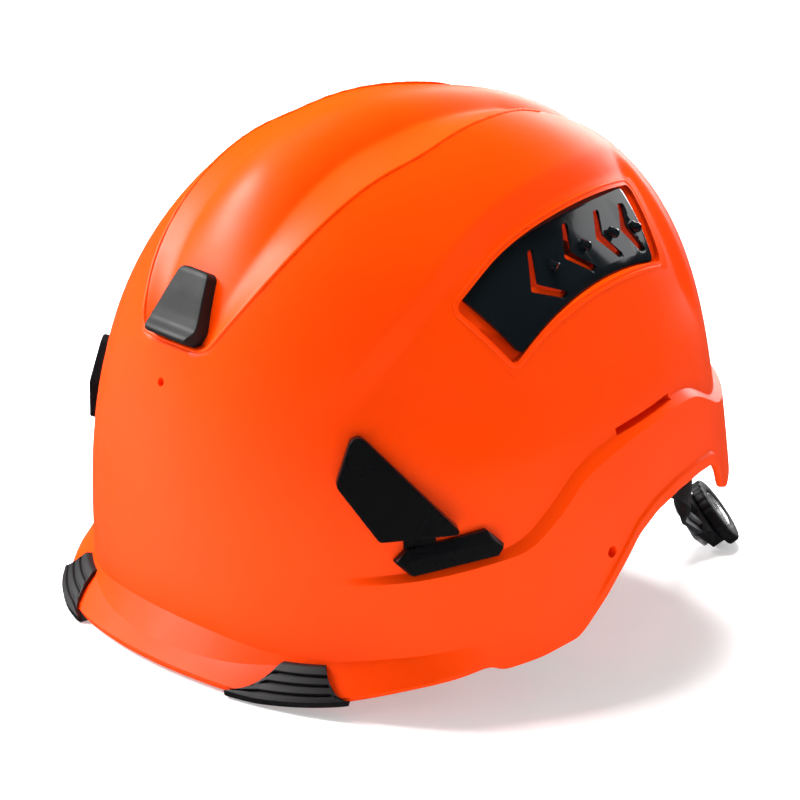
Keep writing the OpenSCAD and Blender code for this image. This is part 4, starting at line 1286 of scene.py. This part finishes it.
def nape_pad():
    """The two soft wings under the dial's housing."""
    parts = []
    for s in (-1, 1):
        c, n = cd(FORK), s * sd(FORK)
        low, high = RACK_X - 6 + 0.5, RACK_X + 6 - 0.5
        flat = rounded([(low, -WING + 0.5), (high, -WING + 0.5), (high, -3), (low, -3)], 2.2, 4)
        turned = np.stack([flat[:, 0] * c - flat[:, 1] * n, flat[:, 0] * n + flat[:, 1] * c], -1)
        base = HOUSING_TOP - HOUSING_T
        parts.append(prism(turned, [(0.8, base - 2.7), (0.1, base - 2.3), (0, base - 1.5), (0.1, base - 0.6),
                                    (0.7, base - 0.15)], dial_place))
    obj = mesh_object("nape_cushion", merged(*parts), MESH, 80)
    puffed(obj, 0.8, 0.15)
    smooth(obj, 80)
    return fit(obj, "cradle", "foam", "nape_pad")


forehead_pad()
crown_pad()
nape_pad()


# ---- finishes of the CAD nodes that stay ----
FINISHES = (
    (BAND, "front_headband", "left_cradle_arm", "right_cradle_arm"),
    (ANCHOR, "band_hangers", "strap_anchors", "leg_anchors"),
    (STEEL, "left_pivot_pin", "right_pivot_pin", "cover_screws", "dial_pawl"),
    (ACETAL, "left_rack", "right_rack", "dial_pinion", "buckle_button"),
    (BUCKLE, "nape_housing", "nape_cover", "left_divider", "right_divider", "chin_adjuster", "buckle_prong",
     "buckle_socket"),
)
for finish, *names in FINISHES:
    for name in names:
        slots = frame["nodes"][name].data.materials
        slots.clear()
        slots.append(finish)


# ---- stage and light ----
def floor():
    m, tree, shader, coord = started("paper_floor", specular=0.1)
    tinted(tree, shader, noise(tree, coord, 3.0), (0.86, 0.86, 0.86), (0.88, 0.88, 0.88))
    link(tree, span(tree, noise(tree, coord, 40.0), 0.75, 0.9), shader.inputs["Roughness"])
    shader.inputs["Emission Color"].default_value = (1, 1, 1, 1)
    shader.inputs["Emission Strength"].default_value = 0.37
    mesh = bpy.data.meshes.new("floor")
    reach = 12.0
    mesh.from_pydata([(-reach, -reach, 0), (reach, -reach, 0), (reach, reach, 0), (-reach, reach, 0)], [],
                     [(0, 1, 2, 3)])
    mesh.materials.append(m)
    obj = bpy.data.objects.new("floor", mesh)
    scene.collection.objects.link(obj)
    obj.visible_glossy = False


def softbox(name, az, el, distance, size, power, left_out=""):
    """Soft area light, aimed at the middle of the helmet."""
    data = bpy.data.lights.new(name, "AREA")
    data.shape = "RECTANGLE"
    data.size, data.size_y = size
    data.energy = power
    obj = bpy.data.objects.new(name, data)
    obj.visible_glossy = left_out != "glossy"
    obj.visible_diffuse = left_out != "diffuse"
    scene.collection.objects.link(obj)
    back = Vector((sd(az) * cd(el), -cd(az) * cd(el), sd(el)))
    target = Vector((0, 0, 0.1))
    obj.location = target + back * distance
    obj.rotation_euler = back.to_track_quat("Z", "Y").to_euler()


def world():
    w = bpy.data.worlds.new("studio")
    w.use_nodes = True
    back = w.node_tree.nodes["Background"]
    back.inputs["Color"].default_value = (1, 1, 1, 1)
    back.inputs["Strength"].default_value = 0.24
    w.cycles_visibility.glossy = False
    scene.world = w


floor()
world()
softbox("left_box", -50, 32, 1.6, (0.6, 0.55), 36)
softbox("left_glint", -50, 32, 1.6, (0.6, 0.55), 32, "diffuse")
softbox("overhead", -90, 70, 1.6, (1.0, 0.9), 64, "glossy")
softbox("back", 205, 18, 1.8, (1.2, 0.7), 22, "diffuse")
softbox("shutter_glint", 168, 33, 1.7, (0.8, 0.5), 1.8, "diffuse")
softbox("right_fill", 128, 22, 2.0, (0.9, 0.9), 9, "glossy")
softbox("front_fill", 50, 30, 2.2, (1.6, 1.6), 2, "glossy")
scene.view_settings.view_transform = "Standard"

bpy.context.view_layer.update()
